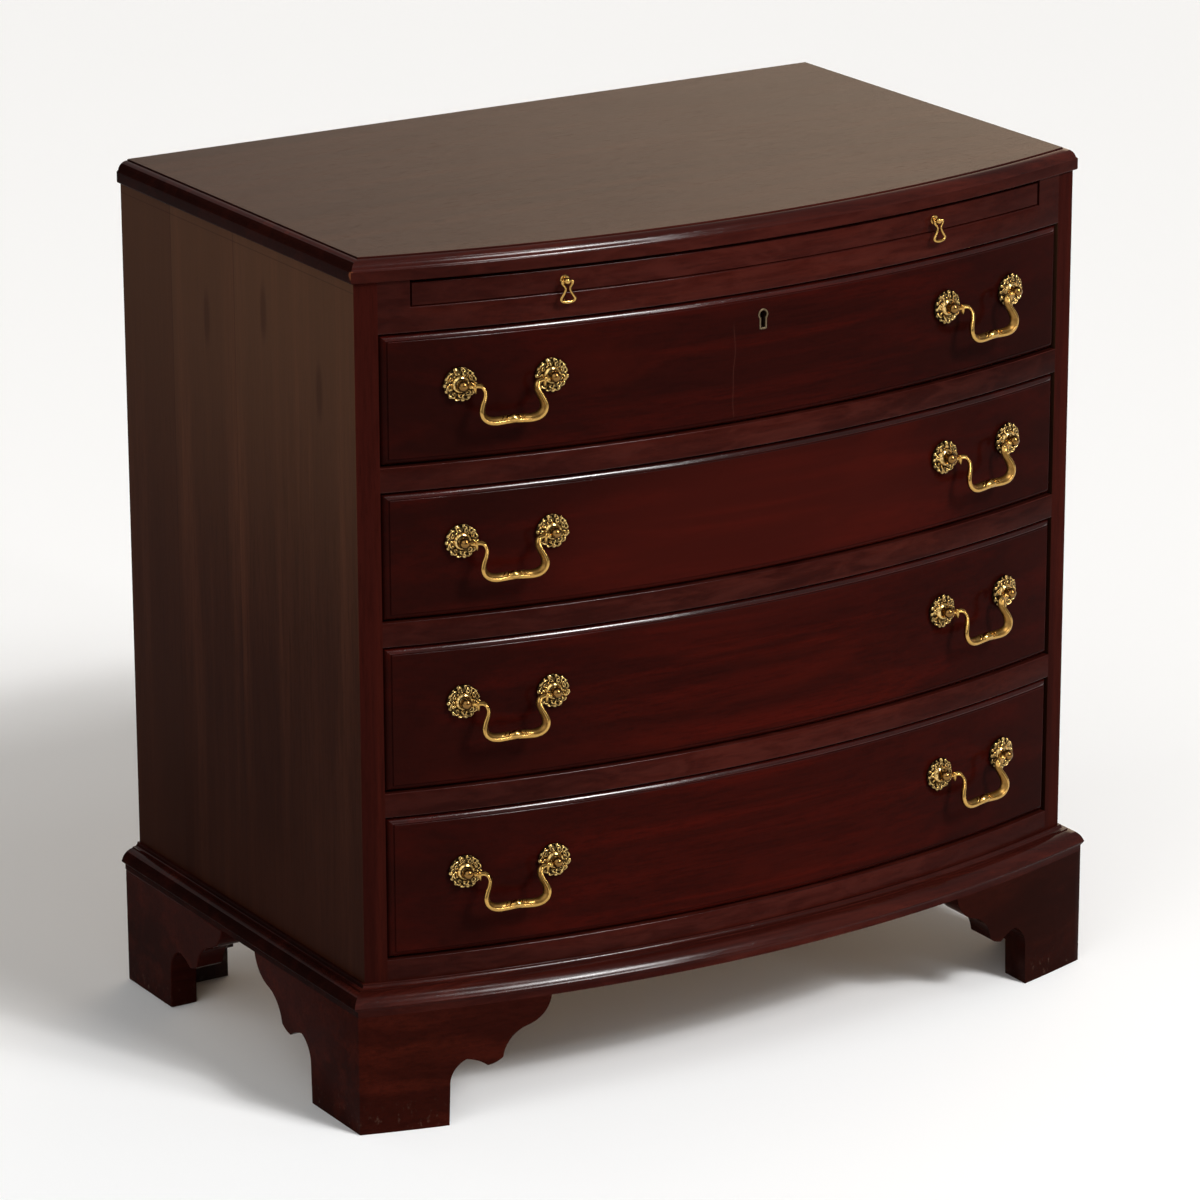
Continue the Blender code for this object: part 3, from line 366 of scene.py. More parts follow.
class Finish:
    """A material under construction, with short names for the nodes that it uses."""

    def __init__(self, name):
        self.material = bpy.data.materials.new(name)
        self.material.use_nodes = True
        self.tree = self.material.node_tree
        self.shader = self.tree.nodes["Principled BSDF"]
        coordinates = self.tree.nodes.new("ShaderNodeTexCoord").outputs
        self.place = coordinates["Object"]
        self.facing = coordinates["Normal"]

    def node(self, kind, inputs, **settings):
        return add_node(self.tree, kind, inputs, **settings).outputs

    def parts(self, vector):
        return self.node("ShaderNodeSeparateXYZ", {"Vector": vector})

    def noise(self, scale, detail=3.0, roughness=0.5, distortion=0.0, shift=(0.0, 0.0, 0.0)):
        """Noise over the piece, with one scale or one each for X, Y and Z, in features a metre."""
        scales = scale if isinstance(scale, tuple) else (scale, scale, scale)
        where = self.node("ShaderNodeMapping", {"Vector": self.place, "Location": shift,
                                                "Scale": scales})["Vector"]
        return self.node("ShaderNodeTexNoise", {"Vector": where, "Scale": 1.0, "Detail": detail,
                                                "Roughness": roughness,
                                                "Distortion": distortion})["Fac"]

    def grain(self, along, long, across, detail, roughness=0.5, distortion=0.0, shift=0.0):
        """Noise drawn out along one axis, the wood's."""
        scales = tuple(long if axis == along else across for axis in range(3))
        return self.noise(scales, detail, roughness, distortion, (shift, shift, shift))

    def spread(self, value, low, high, to_low=0.0, to_high=1.0):
        return self.node("ShaderNodeMapRange", {"Value": value, "From Min": low, "From Max": high,
                                                "To Min": to_low, "To Max": to_high},
                         interpolation_type="SMOOTHSTEP")["Result"]

    def maths(self, operation, first, second=0.0):
        return self.node("ShaderNodeMath", {0: first, 1: second}, operation=operation)[0]

    def times(self, first, second):
        return self.maths("MULTIPLY", first, second)

    def mixed(self, share, first, second):
        return self.node("ShaderNodeMix", {0: share, 6: first, 7: second}, data_type="RGBA")[2]

    def laid(self, colour, tint, value, low, high, share_at_low=0.0, share_at_high=1.0):
        """A colour under a tint, whose share follows value from low to high."""
        return self.mixed(self.spread(value, low, high, share_at_low, share_at_high), colour, tint)

    def line(self, value, middle, half, strength):
        """A thin line where value passes middle."""
        return self.times(self.spread(value, middle - half, middle),
                          self.spread(value, middle, middle + half, strength, 0.0))

    def spot(self, centre, radius, stretch=(1.0, 1.0, 1.0)):
        """1 at a place on the piece, fading to 0 at radius."""
        away = self.node("ShaderNodeVectorMath", {0: self.place, 1: centre}, operation="SUBTRACT")
        away = self.node("ShaderNodeVectorMath", {0: away[0], 1: stretch}, operation="MULTIPLY")
        length = self.node("ShaderNodeVectorMath", {0: away[0]}, operation="LENGTH")["Value"]
        return self.spread(length, 0.35 * radius, radius, 1.0, 0.0)

    def bumped(self, height, depth, strength, under=None):
        inputs = {"Height": height, "Distance": depth, "Strength": strength}
        if under is not None:
            inputs["Normal"] = under
        return self.node("ShaderNodeBump", inputs)["Normal"]

    def set(self, **values):
        names = {"colour": "Base Color", "roughness": "Roughness", "metallic": "Metallic",
                 "specular": "Specular IOR Level", "normal": "Normal"}
        for key, value in values.items():
            feed(self.tree, value, self.shader.inputs[names[key]])
        return self.material


def shade(colour, share):
    return tuple(share * part for part in colour)


def figured(finish, along, tones, shift):
    """Stained mahogany: colour drift, ribbon figure, flecks, fine streaks and open pores."""
    dark, middle, red = tones
    drift = finish.grain(along, 1.6, 5.0, 3.0, 0.5, 0.6, shift)
    ribbon = finish.grain(along, 1.3, 46.0, 3.0, 0.55, 0.4, shift)
    flecks = finish.grain(along, 20.0, 330.0, 4.0, 0.7, 0.0, shift)
    streaks = finish.grain(along, 9.0, 520.0, 5.0, 0.65, 0.0, shift)
    pores = finish.grain(along, 85.0, 1700.0, 2.0, 0.5, 0.0, shift)
    colour = finish.laid(dark, middle, drift, 0.27, 0.62)
    colour = finish.laid(colour, red, ribbon, 0.42, 0.74, 0.0, 0.65)
    colour = finish.laid(colour, shade(dark, 0.6), flecks, 0.44, 0.66, 0.0, 0.38)
    colour = finish.laid(colour, dark, streaks, 0.46, 0.72, 0.0, 0.34)
    colour = finish.laid(colour, shade(dark, 0.35), pores, 0.60, 0.74, 0.0, 0.45)
    open_pores = finish.spread(pores, 0.58, 0.76, 1.0, 0.0)
    relief = finish.maths("ADD", finish.times(streaks, 0.3), open_pores)
    return colour, finish.maths("ADD", relief, flecks)


def painted_middle_glow(finish, colour):
    """The fronts are redder towards the chest's middle and darker towards its sides: a painted
    glow of light on the middle, and painted shade towards the sides.
    """
    outwards = finish.maths("ABSOLUTE", finish.parts(finish.place)["X"])
    return finish.laid(colour, TINTS["painted_outer_shade"], outwards, 0.04, 0.34, 0.0, 0.50)


def lacquered(finish, colour, relief, gloss, shine=0.01, uneven=0.04, depth=0.00003):
    """Lacquer over the wood: a slight unevenness of gloss, and pores that just show in it."""
    wear = finish.noise(14.0, 5.0, 0.65)
    rough = finish.spread(wear, 0.35, 0.7, gloss, gloss + uneven)
    ripple = finish.noise(60.0, 2.0)
    normal = finish.bumped(relief, depth, 0.5, finish.bumped(ripple, 0.0003, 0.10))
    return finish.set(colour=colour, roughness=rough, specular=shine, normal=normal)


# Of each part's wood: its dark, its middle and its red tone
TONES = {
    "case": ((0.019, 0.0030, 0.0021), (0.034, 0.0050, 0.0033), (0.062, 0.0092, 0.0052)),
    "foot": ((0.014, 0.0023, 0.0014), (0.024, 0.0037, 0.0022), (0.044, 0.0062, 0.0031)),
    # shaded: a darker copy for side-facing mouldings, painted shade
    "shaded": ((0.008, 0.0018, 0.0013), (0.014, 0.0028, 0.0018), (0.024, 0.0042, 0.0024)),
    "top": ((0.028, 0.0100, 0.0056), (0.041, 0.0148, 0.0082), (0.058, 0.0205, 0.0105)),
    "side": ((0.017, 0.0048, 0.0026), (0.039, 0.0118, 0.0058), (0.072, 0.0225, 0.0108)),
    "drawer": ((0.0125, 0.0018, 0.0013), (0.024, 0.0026, 0.0016), (0.050, 0.0034, 0.0017)),
}
# What is laid over the tones in places
TINTS = {
    # painted shade laid on the fronts towards their sides
    "painted_outer_shade": (0.010, 0.0020, 0.0014),
    "rail_patch": (0.072, 0.0145, 0.0100),
    "worn_corner": (0.25, 0.075, 0.03),
    "dent": (0.014, 0.004, 0.003),
    # painted shade low on the sides, and a painted reflection towards their top
    "painted_low_shade": (0.016, 0.0040, 0.0019),
    "painted_upper_reflection": (0.092, 0.045, 0.024),
    "side_board": (0.022, 0.0075, 0.0045),
    "side_edge": (0.009, 0.0020, 0.0015),
    # the dark of the board joints, and of the painted shadow line under the top
    "joint_and_shadow_line": (0.012, 0.004, 0.003),
    "knot": (0.020, 0.0080, 0.0050),
    "flame": (0.046, 0.0038, 0.0018),
    "upper_drawer": (0.008, 0.0016, 0.0012),
    "middle_drawer": (0.052, 0.0052, 0.0030),
    "crack": (0.080, 0.026, 0.018),
    "painted_right_shade": (0.008, 0.0018, 0.0010),
    "dust": (0.11, 0.065, 0.045),
    "rear_stain": (0.012, 0.007, 0.005),
    "rubbed": (0.085, 0.060, 0.045),
    "rosette_seat": (0.022, 0.013, 0.005),
    "mottle": (0.050, 0.026, 0.008),
}
POPLAR = ((0.34, 0.22, 0.115), (0.24, 0.14, 0.065))
BACK_BOARD = ((0.22, 0.13, 0.065), (0.15, 0.085, 0.04))
STEEL = ((0.14, 0.13, 0.12), (0.26, 0.24, 0.22))
# Of each brass: its bright colour, its tarnished colour and its roughness
BRASS = {
    "cast": ((0.55, 0.325, 0.092), (0.31, 0.165, 0.042), 0.12),
    # dull: the bail's inner face, rougher and painted darker as shade
    "dull": ((0.28, 0.150, 0.040), (0.15, 0.078, 0.020), 0.30),
    # knob: the ball heads, painted darker as a dark reflection
    "knob": ((0.25, 0.130, 0.038), (0.13, 0.066, 0.018), 0.08),
    "chased": ((0.90, 0.61, 0.230), (0.42, 0.25, 0.078), 0.08),
    "inlaid": ((0.15, 0.110, 0.065), (0.09, 0.060, 0.034), 0.40),
}


def rail_finish():
    finish = Finish("rail_mahogany")
    colour, relief = figured(finish, 0, TONES["case"], 2.0)
    patches = finish.noise((18.0, 40.0, 75.0), 4.0, 0.6, 0.8)
    colour = finish.laid(colour, TINTS["rail_patch"], patches, 0.38, 0.66, 0.0, 0.32)
    # the rails get the painted glow on their middle and painted shade at their sides
    return lacquered(finish, painted_middle_glow(finish, colour), relief, 0.15, 0.020)


def polished_finish(name, tones, shift, shine):
    """Moulded edges, polished more than the flat faces, or a darker copy for side-facing faces as
    painted shade; one corner of the top is worn.
    """
    finish = Finish(name)
    colour, relief = figured(finish, 0, TONES[tones], shift)
    corner = (-CASE_HALF - TOP_REACH, bow_y(CASE_HALF + TOP_REACH, TOP_REACH),
              TOP_STRIP_TOP - 0.003)
    worn = finish.times(finish.spot(corner, 0.006), finish.noise(400.0))
    colour = finish.laid(colour, TINTS["worn_corner"], worn, 0.25, 0.6, 0.0, 0.6)
    return lacquered(finish, colour, relief, 0.13, shine)


def top_finish():
    """The top, faded to brown, with long streaks and two small dents."""
    finish = Finish("top_mahogany")
    colour, relief = figured(finish, 0, TONES["top"], 5.0)
    for x, y in TOP_DENTS:
        dent = finish.spot((x, y, TOP_SURFACE), 0.006, (0.6, 1.7, 1.0))
        colour = finish.mixed(finish.times(dent, 0.6), colour, TINTS["dent"])
    return lacquered(finish, colour, relief, 0.21, 0.027, 0.02, 0.00016)


def side_finish():
    """A side panel: upright grain, three boards, dark knots, painted shade low down and a painted
    reflection lighter towards its top, a thin painted shadow line under the top, red edge.
    """
    finish = Finish("side_mahogany")
    colour, relief = figured(finish, 2, TONES["side"], 3.0)
    _, across, height = finish.parts(finish.place)
    # painted light: darker low down as painted shade, lighter towards the top as a painted
    # reflection
    colour = finish.laid(colour, TINTS["painted_low_shade"], height, 0.14, 0.55, 0.65, 0.0)
    colour = finish.laid(colour, TINTS["painted_upper_reflection"], height, 0.36, 0.75, 0.0, 0.58)
    for joint, darker in SIDE_JOINTS:
        colour = finish.laid(colour, TINTS["side_board"], across, joint - 0.0004, joint + 0.0004,
                             0.0, darker)
        seam = finish.line(across, joint, 0.0009, 0.5)
        colour = finish.mixed(seam, colour, TINTS["joint_and_shadow_line"])
    for y, z in SIDE_KNOTS:
        knot = finish.spot((-CASE_HALF, y, z), 0.034, (1.0, 4.5, 1.0))
        colour = finish.mixed(finish.times(knot, 0.45), colour, TINTS["knot"])
    # a thin dark line just under the top: a painted shadow of its overhang
    painted_shadow_line = finish.line(height, SIDE_SHADOW_LINE, 0.0008, 0.45)
    colour = finish.mixed(painted_shadow_line, colour, TINTS["joint_and_shadow_line"])
    red, _ = figured(finish, 2, TONES["case"], 2.0)
    red = finish.laid(red, TINTS["side_edge"], height, 0.15, 0.70, 0.45, 0.15)
    backwards = finish.parts(finish.facing)["Y"]
    colour = finish.laid(colour, red, backwards, -0.9, -0.7, 1.0, 0.0)
    return lacquered(finish, colour, relief, 0.22, 0.005)


def drawer_finish():
    """Polished veneer with a ribbon figure, and a hairline in the top drawer's."""
    finish = Finish("drawer_veneer")
    colour, relief = figured(finish, 0, TONES["drawer"], 7.0)
    flame = finish.noise((4.0, 4.0, 11.0), 4.0, 0.55, 1.4, (1.0, 0.0, 4.0))
    colour = finish.laid(colour, TINTS["flame"], flame, 0.50, 0.78, 0.0, 0.6)
    # painted glow on the middle of the fronts, painted shade towards their sides
    colour = painted_middle_glow(finish, colour)
    x, _, height = finish.parts(finish.place)
    colour = finish.laid(colour, TINTS["upper_drawer"], height, 0.50, 0.62, 0.0, 0.30)
    redder = finish.spot((0.0, bow_y(0.0), 0.49), 0.30, (1.0, 1.0, 2.6))
    colour = finish.mixed(finish.times(redder, 0.45), colour, TINTS["middle_drawer"])
    sway = finish.spread(finish.noise((0.0, 0.0, 22.0), 1.0), 0.0, 1.0, *CRACK_LEFT)
    away = finish.maths("ABSOLUTE", finish.maths("ADD", x, sway))
    length = finish.times(finish.spread(height, *CRACK_FOOT),
                          finish.spread(height, *CRACK_HEAD, 1.0, 0.0))
    crack = finish.times(finish.spread(away, 0.0001, 0.0007, 0.22, 0.0), length)
    return lacquered(finish, finish.mixed(crack, colour, TINTS["crack"]), relief, 0.12, 0.013)


def foot_finish():
    """The feet: painted shade darker towards the chest's right, scuffed and dusty towards the
    floor.
    """
    finish = Finish("foot_mahogany")
    colour, relief = figured(finish, 0, TONES["foot"], 9.0)
    x, _, height = finish.parts(finish.place)
    # painted shade: darker towards the chest's right
    colour = finish.laid(colour, TINTS["painted_right_shade"], x, 0.0, 0.30, 0.0, 0.55)
    scuffs = finish.noise((210.0, 210.0, 130.0), 5.0, 0.7)
    dust = finish.times(finish.spread(height, 0.0, 0.034, 1.0, 0.0),
                        finish.spread(scuffs, 0.56, 0.74, 0.0, 0.5))
    return lacquered(finish, finish.mixed(dust, colour, TINTS["dust"]), relief, 0.16)


def rear_bracket_finish():
    """Roughly stained wood behind the rear feet, rubbed pale in patches."""
    finish = Finish("stained_bracket")
    colour, relief = figured(finish, 2, TONES["case"], 4.0)
    colour = finish.mixed(0.5, colour, TINTS["rear_stain"])
    patches = finish.noise(45.0, 5.0, 0.65, 0.5)
    colour = finish.laid(colour, TINTS["rubbed"], patches, 0.50, 0.72, 0.0, 0.55)
    normal = finish.bumped(relief, 0.0002, 0.6)
    return finish.set(colour=colour, roughness=0.75, specular=0.2, normal=normal)


def inner_finish(name, along, tones):
    """Plain secondary wood, unfinished."""
    finish = Finish(name)
    light, dark = tones
    rings = finish.grain(along, 1.5, 30.0, 4.0, 0.6, 0.8)
    streaks = finish.grain(along, 14.0, 700.0, 4.0, 0.6)
    colour = finish.laid(light, dark, rings, 0.35, 0.7)
    colour = finish.laid(colour, dark, streaks, 0.45, 0.75, 0.0, 0.45)
    normal = finish.bumped(streaks, 0.0001, 0.5)
    return finish.set(colour=colour, roughness=0.68, specular=0.25, normal=normal)


def brass_finish(kind):
    """Brass, tarnished in random patches and painted with shade on its downward faces; chased
    brass is dark near the wood and rubbed where it is proud.
    """
    bright, tarnished, roughness = BRASS[kind]
    finish = Finish(f"{kind}_brass")
    tarnish = finish.noise(160.0, 4.0, 0.6)
    colour = finish.laid(bright, tarnished, tarnish, 0.45, 0.75, 0.0, 0.5)
    # painted shade: the faces that look down are darker
    upwards = finish.parts(finish.facing)["Z"]
    colour = finish.laid(colour, shade(tarnished, 0.30), upwards, -0.9, 0.1, 0.65, 0.0)
    if kind == "chased":
        x, y, _ = finish.parts(finish.place)
        behind = finish.maths("SUBTRACT", y, BOW_CENTRE_Y)
        squares = finish.maths("ADD", finish.times(x, x), finish.times(behind, behind))
        radius = finish.maths("SQRT", squares)
        reach = finish.maths("SUBTRACT", radius, BOW_RADIUS + FRONT_PROUD)
        colour = finish.laid(TINTS["rosette_seat"], colour, reach, 0.0020, 0.0052)
        mottle = finish.noise(520.0, 2.0, 0.6)
        colour = finish.laid(colour, TINTS["mottle"], mottle, 0.48, 0.60, 0.0, 0.6)
    rough = finish.spread(tarnish, 0.3, 0.75, roughness, roughness + 0.12)
    normal = finish.bumped(finish.noise(700.0, 2.0), 0.00006, 0.3)
    return finish.set(colour=colour, metallic=1.0, roughness=rough, normal=normal)


def steel_finish():
    finish = Finish("lock_steel_dull")
    brushed = finish.noise((60.0, 900.0, 900.0))
    colour = finish.laid(*STEEL, brushed, 0.3, 0.7)
    normal = finish.bumped(brushed, 0.00004, 0.5)
    return finish.set(colour=colour, metallic=1.0, roughness=0.42, normal=normal)


# The case

def bowed_outline(side_reach, front_reach, back=BACK_Y):
    half = CASE_HALF + side_reach
    front = [(x, bow_y(x, front_reach)) for x in spaced(-half, half, BOW_STEPS)]
    return [(-half, back)] + front + [(half, back)]


def polish(made, finish, chosen):
    """Gives a finish of its own to the faces that are chosen by their centre and normal."""
    made.data.materials.append(finish)
    for polygon in made.data.polygons:
        if chosen(polygon.center, polygon.normal):
            polygon.material_index = len(made.data.materials) - 1
    return made


def looking_up(_, normal):
    return normal.z > 0.12 and abs(normal.x) < 0.6


def on_arris(_, normal):
    return 0.2 < abs(normal.z) < 0.98 and normal.y < -0.1


def on_thumbnail(centre, normal):
    reach = math.hypot(centre.x, centre.y - BOW_CENTRE_Y) - BOW_RADIUS
    edge = FRONT_PROUD - FRONT_STEP - FRONT_ROUND - 0.0005
    return normal.z > 0.12 and edge < reach < FRONT_PROUD - 0.0001


# faces that look sideways, which get the darker copy: painted shade
def sideways(_, normal):
    return abs(normal.x) > 0.6


def make_top(finish, front_finish, edge_finish, shaded_finish):
    """The top board: a flat strip, a fillet, an ovolo and a last small step."""
    foot = (TOP_REACH - TOP_UNDERCUT, TOP_STRIP_TOP + TOP_FILLET)
    head = (foot[0] - TOP_OVOLO, TOP_SURFACE - TOP_FILLET)
    profile = [(TOP_REACH - TOP_UNDERCUT, TOP_UNDERSIDE)]
    profile += arc(profile[0], (TOP_REACH, TOP_UNDERSIDE + TOP_UNDERCUT), -0.0004, 5)
    profile += [(TOP_REACH, TOP_STRIP_TOP - 0.0004), (TOP_REACH - 0.0004, TOP_STRIP_TOP), foot]
    profile += arc(foot, head, -0.22 * TOP_OVOLO, 14)
    profile += [(head[0] - TOP_FILLET, head[1]), (head[0] - 0.0013, TOP_SURFACE - 0.0003),
                (head[0] - 0.0017, TOP_SURFACE)]
    rings = [[(x, y, height) for x, y in bowed_outline(reach, reach)] for reach, height in profile]
    made = loft("top_board", rings, front_finish)
    polish(made, shaded_finish, sideways)
    polish(made, edge_finish, looking_up)
    return polish(made, finish, lambda centre, _: centre.z > TOP_SURFACE - 0.0001)


def base_edge(reach, foot_reach):
    """The base moulding's face: a small cove and ledge, a broad swelling and a nose."""
    ledge = BASE_TOP - 0.0037
    nose = FOOT_HEIGHT + 0.0095
    edge = [(0.0, BASE_TOP), (0.0022, BASE_TOP), (0.0025, BASE_TOP - 0.0003),
            (0.0025, BASE_TOP - 0.0012)]
    edge += arc(edge[-1], (0.0062, ledge), -0.0008, 6)
    edge += [(0.0074, ledge), (0.0074, ledge - 0.0010)]
    edge += arc(edge[-1], (reach - 0.0005, nose), 0.0022, 14)
    edge += arc(edge[-1], (reach - 0.0005, nose - 0.0022), 0.0005, 5)
    edge += [(foot_reach, nose - 0.0044), (foot_reach, FOOT_HEIGHT)]
    return edge


def make_base_moulding(finish, edge_finish, shaded_finish):
    side_edge = base_edge(BASE_SIDE_REACH, FOOT_SIDE_REACH)
    front_edge = base_edge(BASE_FRONT_REACH, FOOT_FRONT_REACH)
    seat = CASE_BOTTOM - GLUE_GAP
    inner = [(-BASE_SEAT, FOOT_HEIGHT), (-BASE_SEAT, seat), (0.0, seat)]
    routes = []
    for (side, height), (front, _) in zip(side_edge + inner, front_edge + inner):
        routes.append([(x, y, height) for x, y in bowed_outline(side, front)])
    made = loft("base_frame", [list(section) for section in zip(*routes)], finish)
    polish(made, shaded_finish, sideways)
    return polish(made, edge_finish, looking_up)


def rail_section(x, low, high, head):
    """A rail's section at x, its front arrises eased; head is the top of a cheek on it."""
    front = bow_y(x)
    rail_back = bow_y(INNER_HALF) + RAIL_DEPTH
    back = INNER_BACK_Y - GLUE_GAP
    outline = [(front + ARRIS, low)]
    outline += arc(outline[0], (front, low + ARRIS), 0.2 * ARRIS, 3)
    outline.append((front, high - ARRIS))
    if head > high:
        outline += [(front, height) for height in spaced(high - ARRIS, head, 3)[1:]]
    else:
        outline += arc(outline[-1], (front + ARRIS, high), 0.2 * ARRIS, 3)
    outline += [(back, head), (back, high - DUST_BOARD), (rail_back, high - DUST_BOARD),
                (rail_back, low)]
    return [(x, y, z) for y, z in outline]


def rail_from(name, sections, finish, board_finish):
    """A rail of mahogany through its sections; the dust board behind it is plain wood."""
    made = loft(name, sections, finish, board_finish)
    limit = bow_y(INNER_HALF) + RAIL_DEPTH - 0.002
    for polygon in made.data.polygons:
        if min(made.data.vertices[corner].co.y for corner in polygon.vertices) > limit:
            polygon.material_index = 1
    return made


def rail_sections(left, right, steps, low, high, head):
    return [rail_section(x, low, high, head) for x in spaced(left, right, steps)]


def make_rail(name, low, high, finish, board_finish):
    sections = rail_sections(-INNER_HALF, INNER_HALF, BOW_STEPS, low, high, high)
    return rail_from(name, sections, finish, board_finish)


def make_slide_rail(finish, board_finish):
    """The rail below the slide, a cheek at each end of it, and the mortise for the bolt."""
    high = SLIDE_RAIL_TOP
    low = high - RAIL_HEIGHT
    guide = SLIDE_OPENING_HALF
    sections = rail_sections(-INNER_HALF, -guide, 4, low, high, TOP_UNDERSIDE)
    sections += rail_sections(-guide, guide, BOW_STEPS, low, high, high)
    sections += rail_sections(guide, INNER_HALF, 4, low, high, TOP_UNDERSIDE)
    made = rail_from("slide_rail_and_cheeks", sections, finish, board_finish)
    middle = bow_y(LOCK_HALF, FRONT_INNER) - LOCK_DEPTH / 2
    half, depth, rise = BOLT_HOLE
    mortise = box("bolt_mortise", (-half, middle - depth, low - OVERCUT),
                  (half, middle + depth, low + rise), finish)
    return cut(made, mortise)


def scroll(leg, reach):
    """A bracket's cut edge, by distance from the foot's corner and height."""
    edge = [(leg, -OVERCUT), (leg + 0.012 * reach, LEG_STRAIGHT)]
    for share, height, bulge in SCROLL_CURVES:
        edge += arc(edge[-1], (leg + share * reach, height), bulge)
    end = leg + reach + 2 * OVERCUT
    return edge + [(end, FOOT_HEIGHT + 0.001), (end, -OVERCUT)]


def make_front_foot(name, hand, finish):
    """Two scroll-cut brackets that meet in a mitre at the front corner."""
    outer_x = CASE_HALF + FOOT_SIDE_REACH
    inner_x = outer_x - SIDE_BRACKET
    inner_reach = FOOT_FRONT_REACH - FRONT_BRACKET
    corner_y = bow_y(outer_x, FOOT_FRONT_REACH)
    front_end = outer_x - FRONT_LEG - FRONT_SCROLL - OVERCUT
    side_end = corner_y + SIDE_LEG + SIDE_SCROLL + OVERCUT
    outline = [(outer_x, side_end)]
    outline += [(x, bow_y(x, FOOT_FRONT_REACH)) for x in spaced(outer_x, front_end, 24)]
    outline += [(x, bow_y(x, inner_reach)) for x in spaced(front_end, inner_x, 24)]
    outline.append((inner_x, side_end))
    foot = upright_prism(name, [(hand * x, y) for x, y in outline], 0.0, FOOT_HEIGHT, finish)
    front_edge = [(hand * (outer_x - width), z) for width, z in scroll(FRONT_LEG, FRONT_SCROLL)]
    front_cut = forward_prism("front_scroll", front_edge, bow_y(0.0, BASE_FRONT_REACH),
                              bow_y(outer_x, inner_reach) + OVERCUT, finish)
    side_edge = [(corner_y + width, z) for width, z in scroll(SIDE_LEG, SIDE_SCROLL)]
    side_cut = crossways_prism("side_scroll", side_edge, hand * (inner_x - OVERCUT),
                               hand * (outer_x + OVERCUT), finish)
    return eased(cut(foot, front_cut, side_cut), FOOT_EASE)


def make_rear_side_bracket(name, hand, finish):
    outer_x = CASE_HALF + FOOT_SIDE_REACH
    edge = scroll(SIDE_LEG, SIDE_SCROLL)[:-2]
    shown = [(BACK_Y - width, min(z, FOOT_HEIGHT)) for width, z in edge]
    shown[0] = (shown[0][0], 0.0)
    outline = shown + [(BACK_Y, FOOT_HEIGHT), (BACK_Y, 0.0)]
    foot = crossways_prism(name, outline, hand * outer_x, hand * (outer_x - SIDE_BRACKET), finish)
    return eased(foot, FOOT_EASE)


# Drawers and slide

def front_ring(inset, reach, low, high):
    half = FRONT_HALF - inset
    stations = spaced(-half, half, BOW_STEPS)
    below = [(x, bow_y(x, reach), low + inset) for x in stations]
    above = [(x, bow_y(x, reach), high - inset) for x in reversed(stations)]
    return below + above


def make_board(name, low, high, finish):
    """A bowed drawer front with a thumbnail edge: a quarter round, then a crisp small step."""
    shoulder = FRONT_PROUD - FRONT_STEP
    edge = [(0.0, shoulder - FRONT_ROUND)]
    edge += arc(edge[0], (FRONT_ROUND, shoulder), 0.29 * FRONT_ROUND, 12)
    profile = [(0.0, FRONT_INNER)] + edge
    profile += [(FRONT_ROUND, FRONT_PROUD - 0.0003), (FRONT_ROUND + 0.0003, FRONT_PROUD)]
    rings = [front_ring(inset, reach, low, high) for inset, reach in profile]
    size = len(rings[0])
    faces = ring_faces(len(rings), size)
    for first in (0, (len(rings) - 1) * size):
        last = first + size - 1
        for strip in range(BOW_STEPS):
            faces.append((first + strip, first + strip + 1, last - 1 - strip, last - strip))
    return shaped(name, corners_of(rings), faces, finish)


def sockets(low, high, finish):
    """The dovetail sockets in both ends of a drawer front."""
    inner = FRONT_HALF - SIDE_BOARD - GLUE_GAP
    outer = FRONT_HALF + OVERCUT
    pitch = (high - low) / TAILS
    tools = []
    for hand in (-1, 1):
        for number in range(TAILS):
            middle = low + pitch * (number + 0.5)
            rings = []
            for reach, half in ((FRONT_INNER - OVERCUT, TAIL_WIDTH / 2 - TAIL_FLARE),
                                (FRONT_INNER + TAIL_LENGTH + GLUE_GAP, TAIL_WIDTH / 2)):
                rings.append([(hand * x, bow_y(x, reach), middle + side * (half + GLUE_GAP))
                              for x, side in ((inner, -1), (outer, -1), (outer, 1), (inner, 1))])
            tools.append(loft("socket", rings, finish))
    return tools


def groove(low, finish):
    """The groove that holds a drawer's bottom board."""
    half = FRONT_HALF - SIDE_BOARD + GROOVE_DEPTH
    front = [(x, bow_y(x, FRONT_INNER + GROOVE_DEPTH)) for x in spaced(-half, half, 32)]
    outline = [(-half, GROOVE_BACK_Y)] + front + [(half, GROOVE_BACK_Y)]
    base = low + BOTTOM_RISE
    return upright_prism("groove", outline, base - GLUE_GAP, base + BOTTOM_THICKNESS + GLUE_GAP,
                         finish)


def keyhole_outline(grow):
    """A keyhole about its round's centre, that much wider than the escutcheon on each side."""
    radius = KEY_RADIUS + grow
    leg = KEY_LEG + grow
    foot = KEY_RADIUS - KEY_LENGTH - grow
    start = -math.acos(leg / radius)
    head = [(radius * math.cos(angle), radius * math.sin(angle))
            for angle in spaced(start, math.pi - start, 40)]
    corner = 0.3 * leg
    side = arc((-leg, foot + corner), (-leg + corner, foot), -0.2 * corner, 4)
    other = arc((leg - corner, foot), (leg, foot + corner), -0.2 * corner, 4)
    return head + [(-leg, foot + corner)] + side + [(leg - corner, foot)] + other


def keyhole_prism(name, grow, front, back, finish):
    outline = [(x, KEY_HEIGHT + z) for x, z in keyhole_outline(grow)]
    return forward_prism(name, outline, front, back, finish)


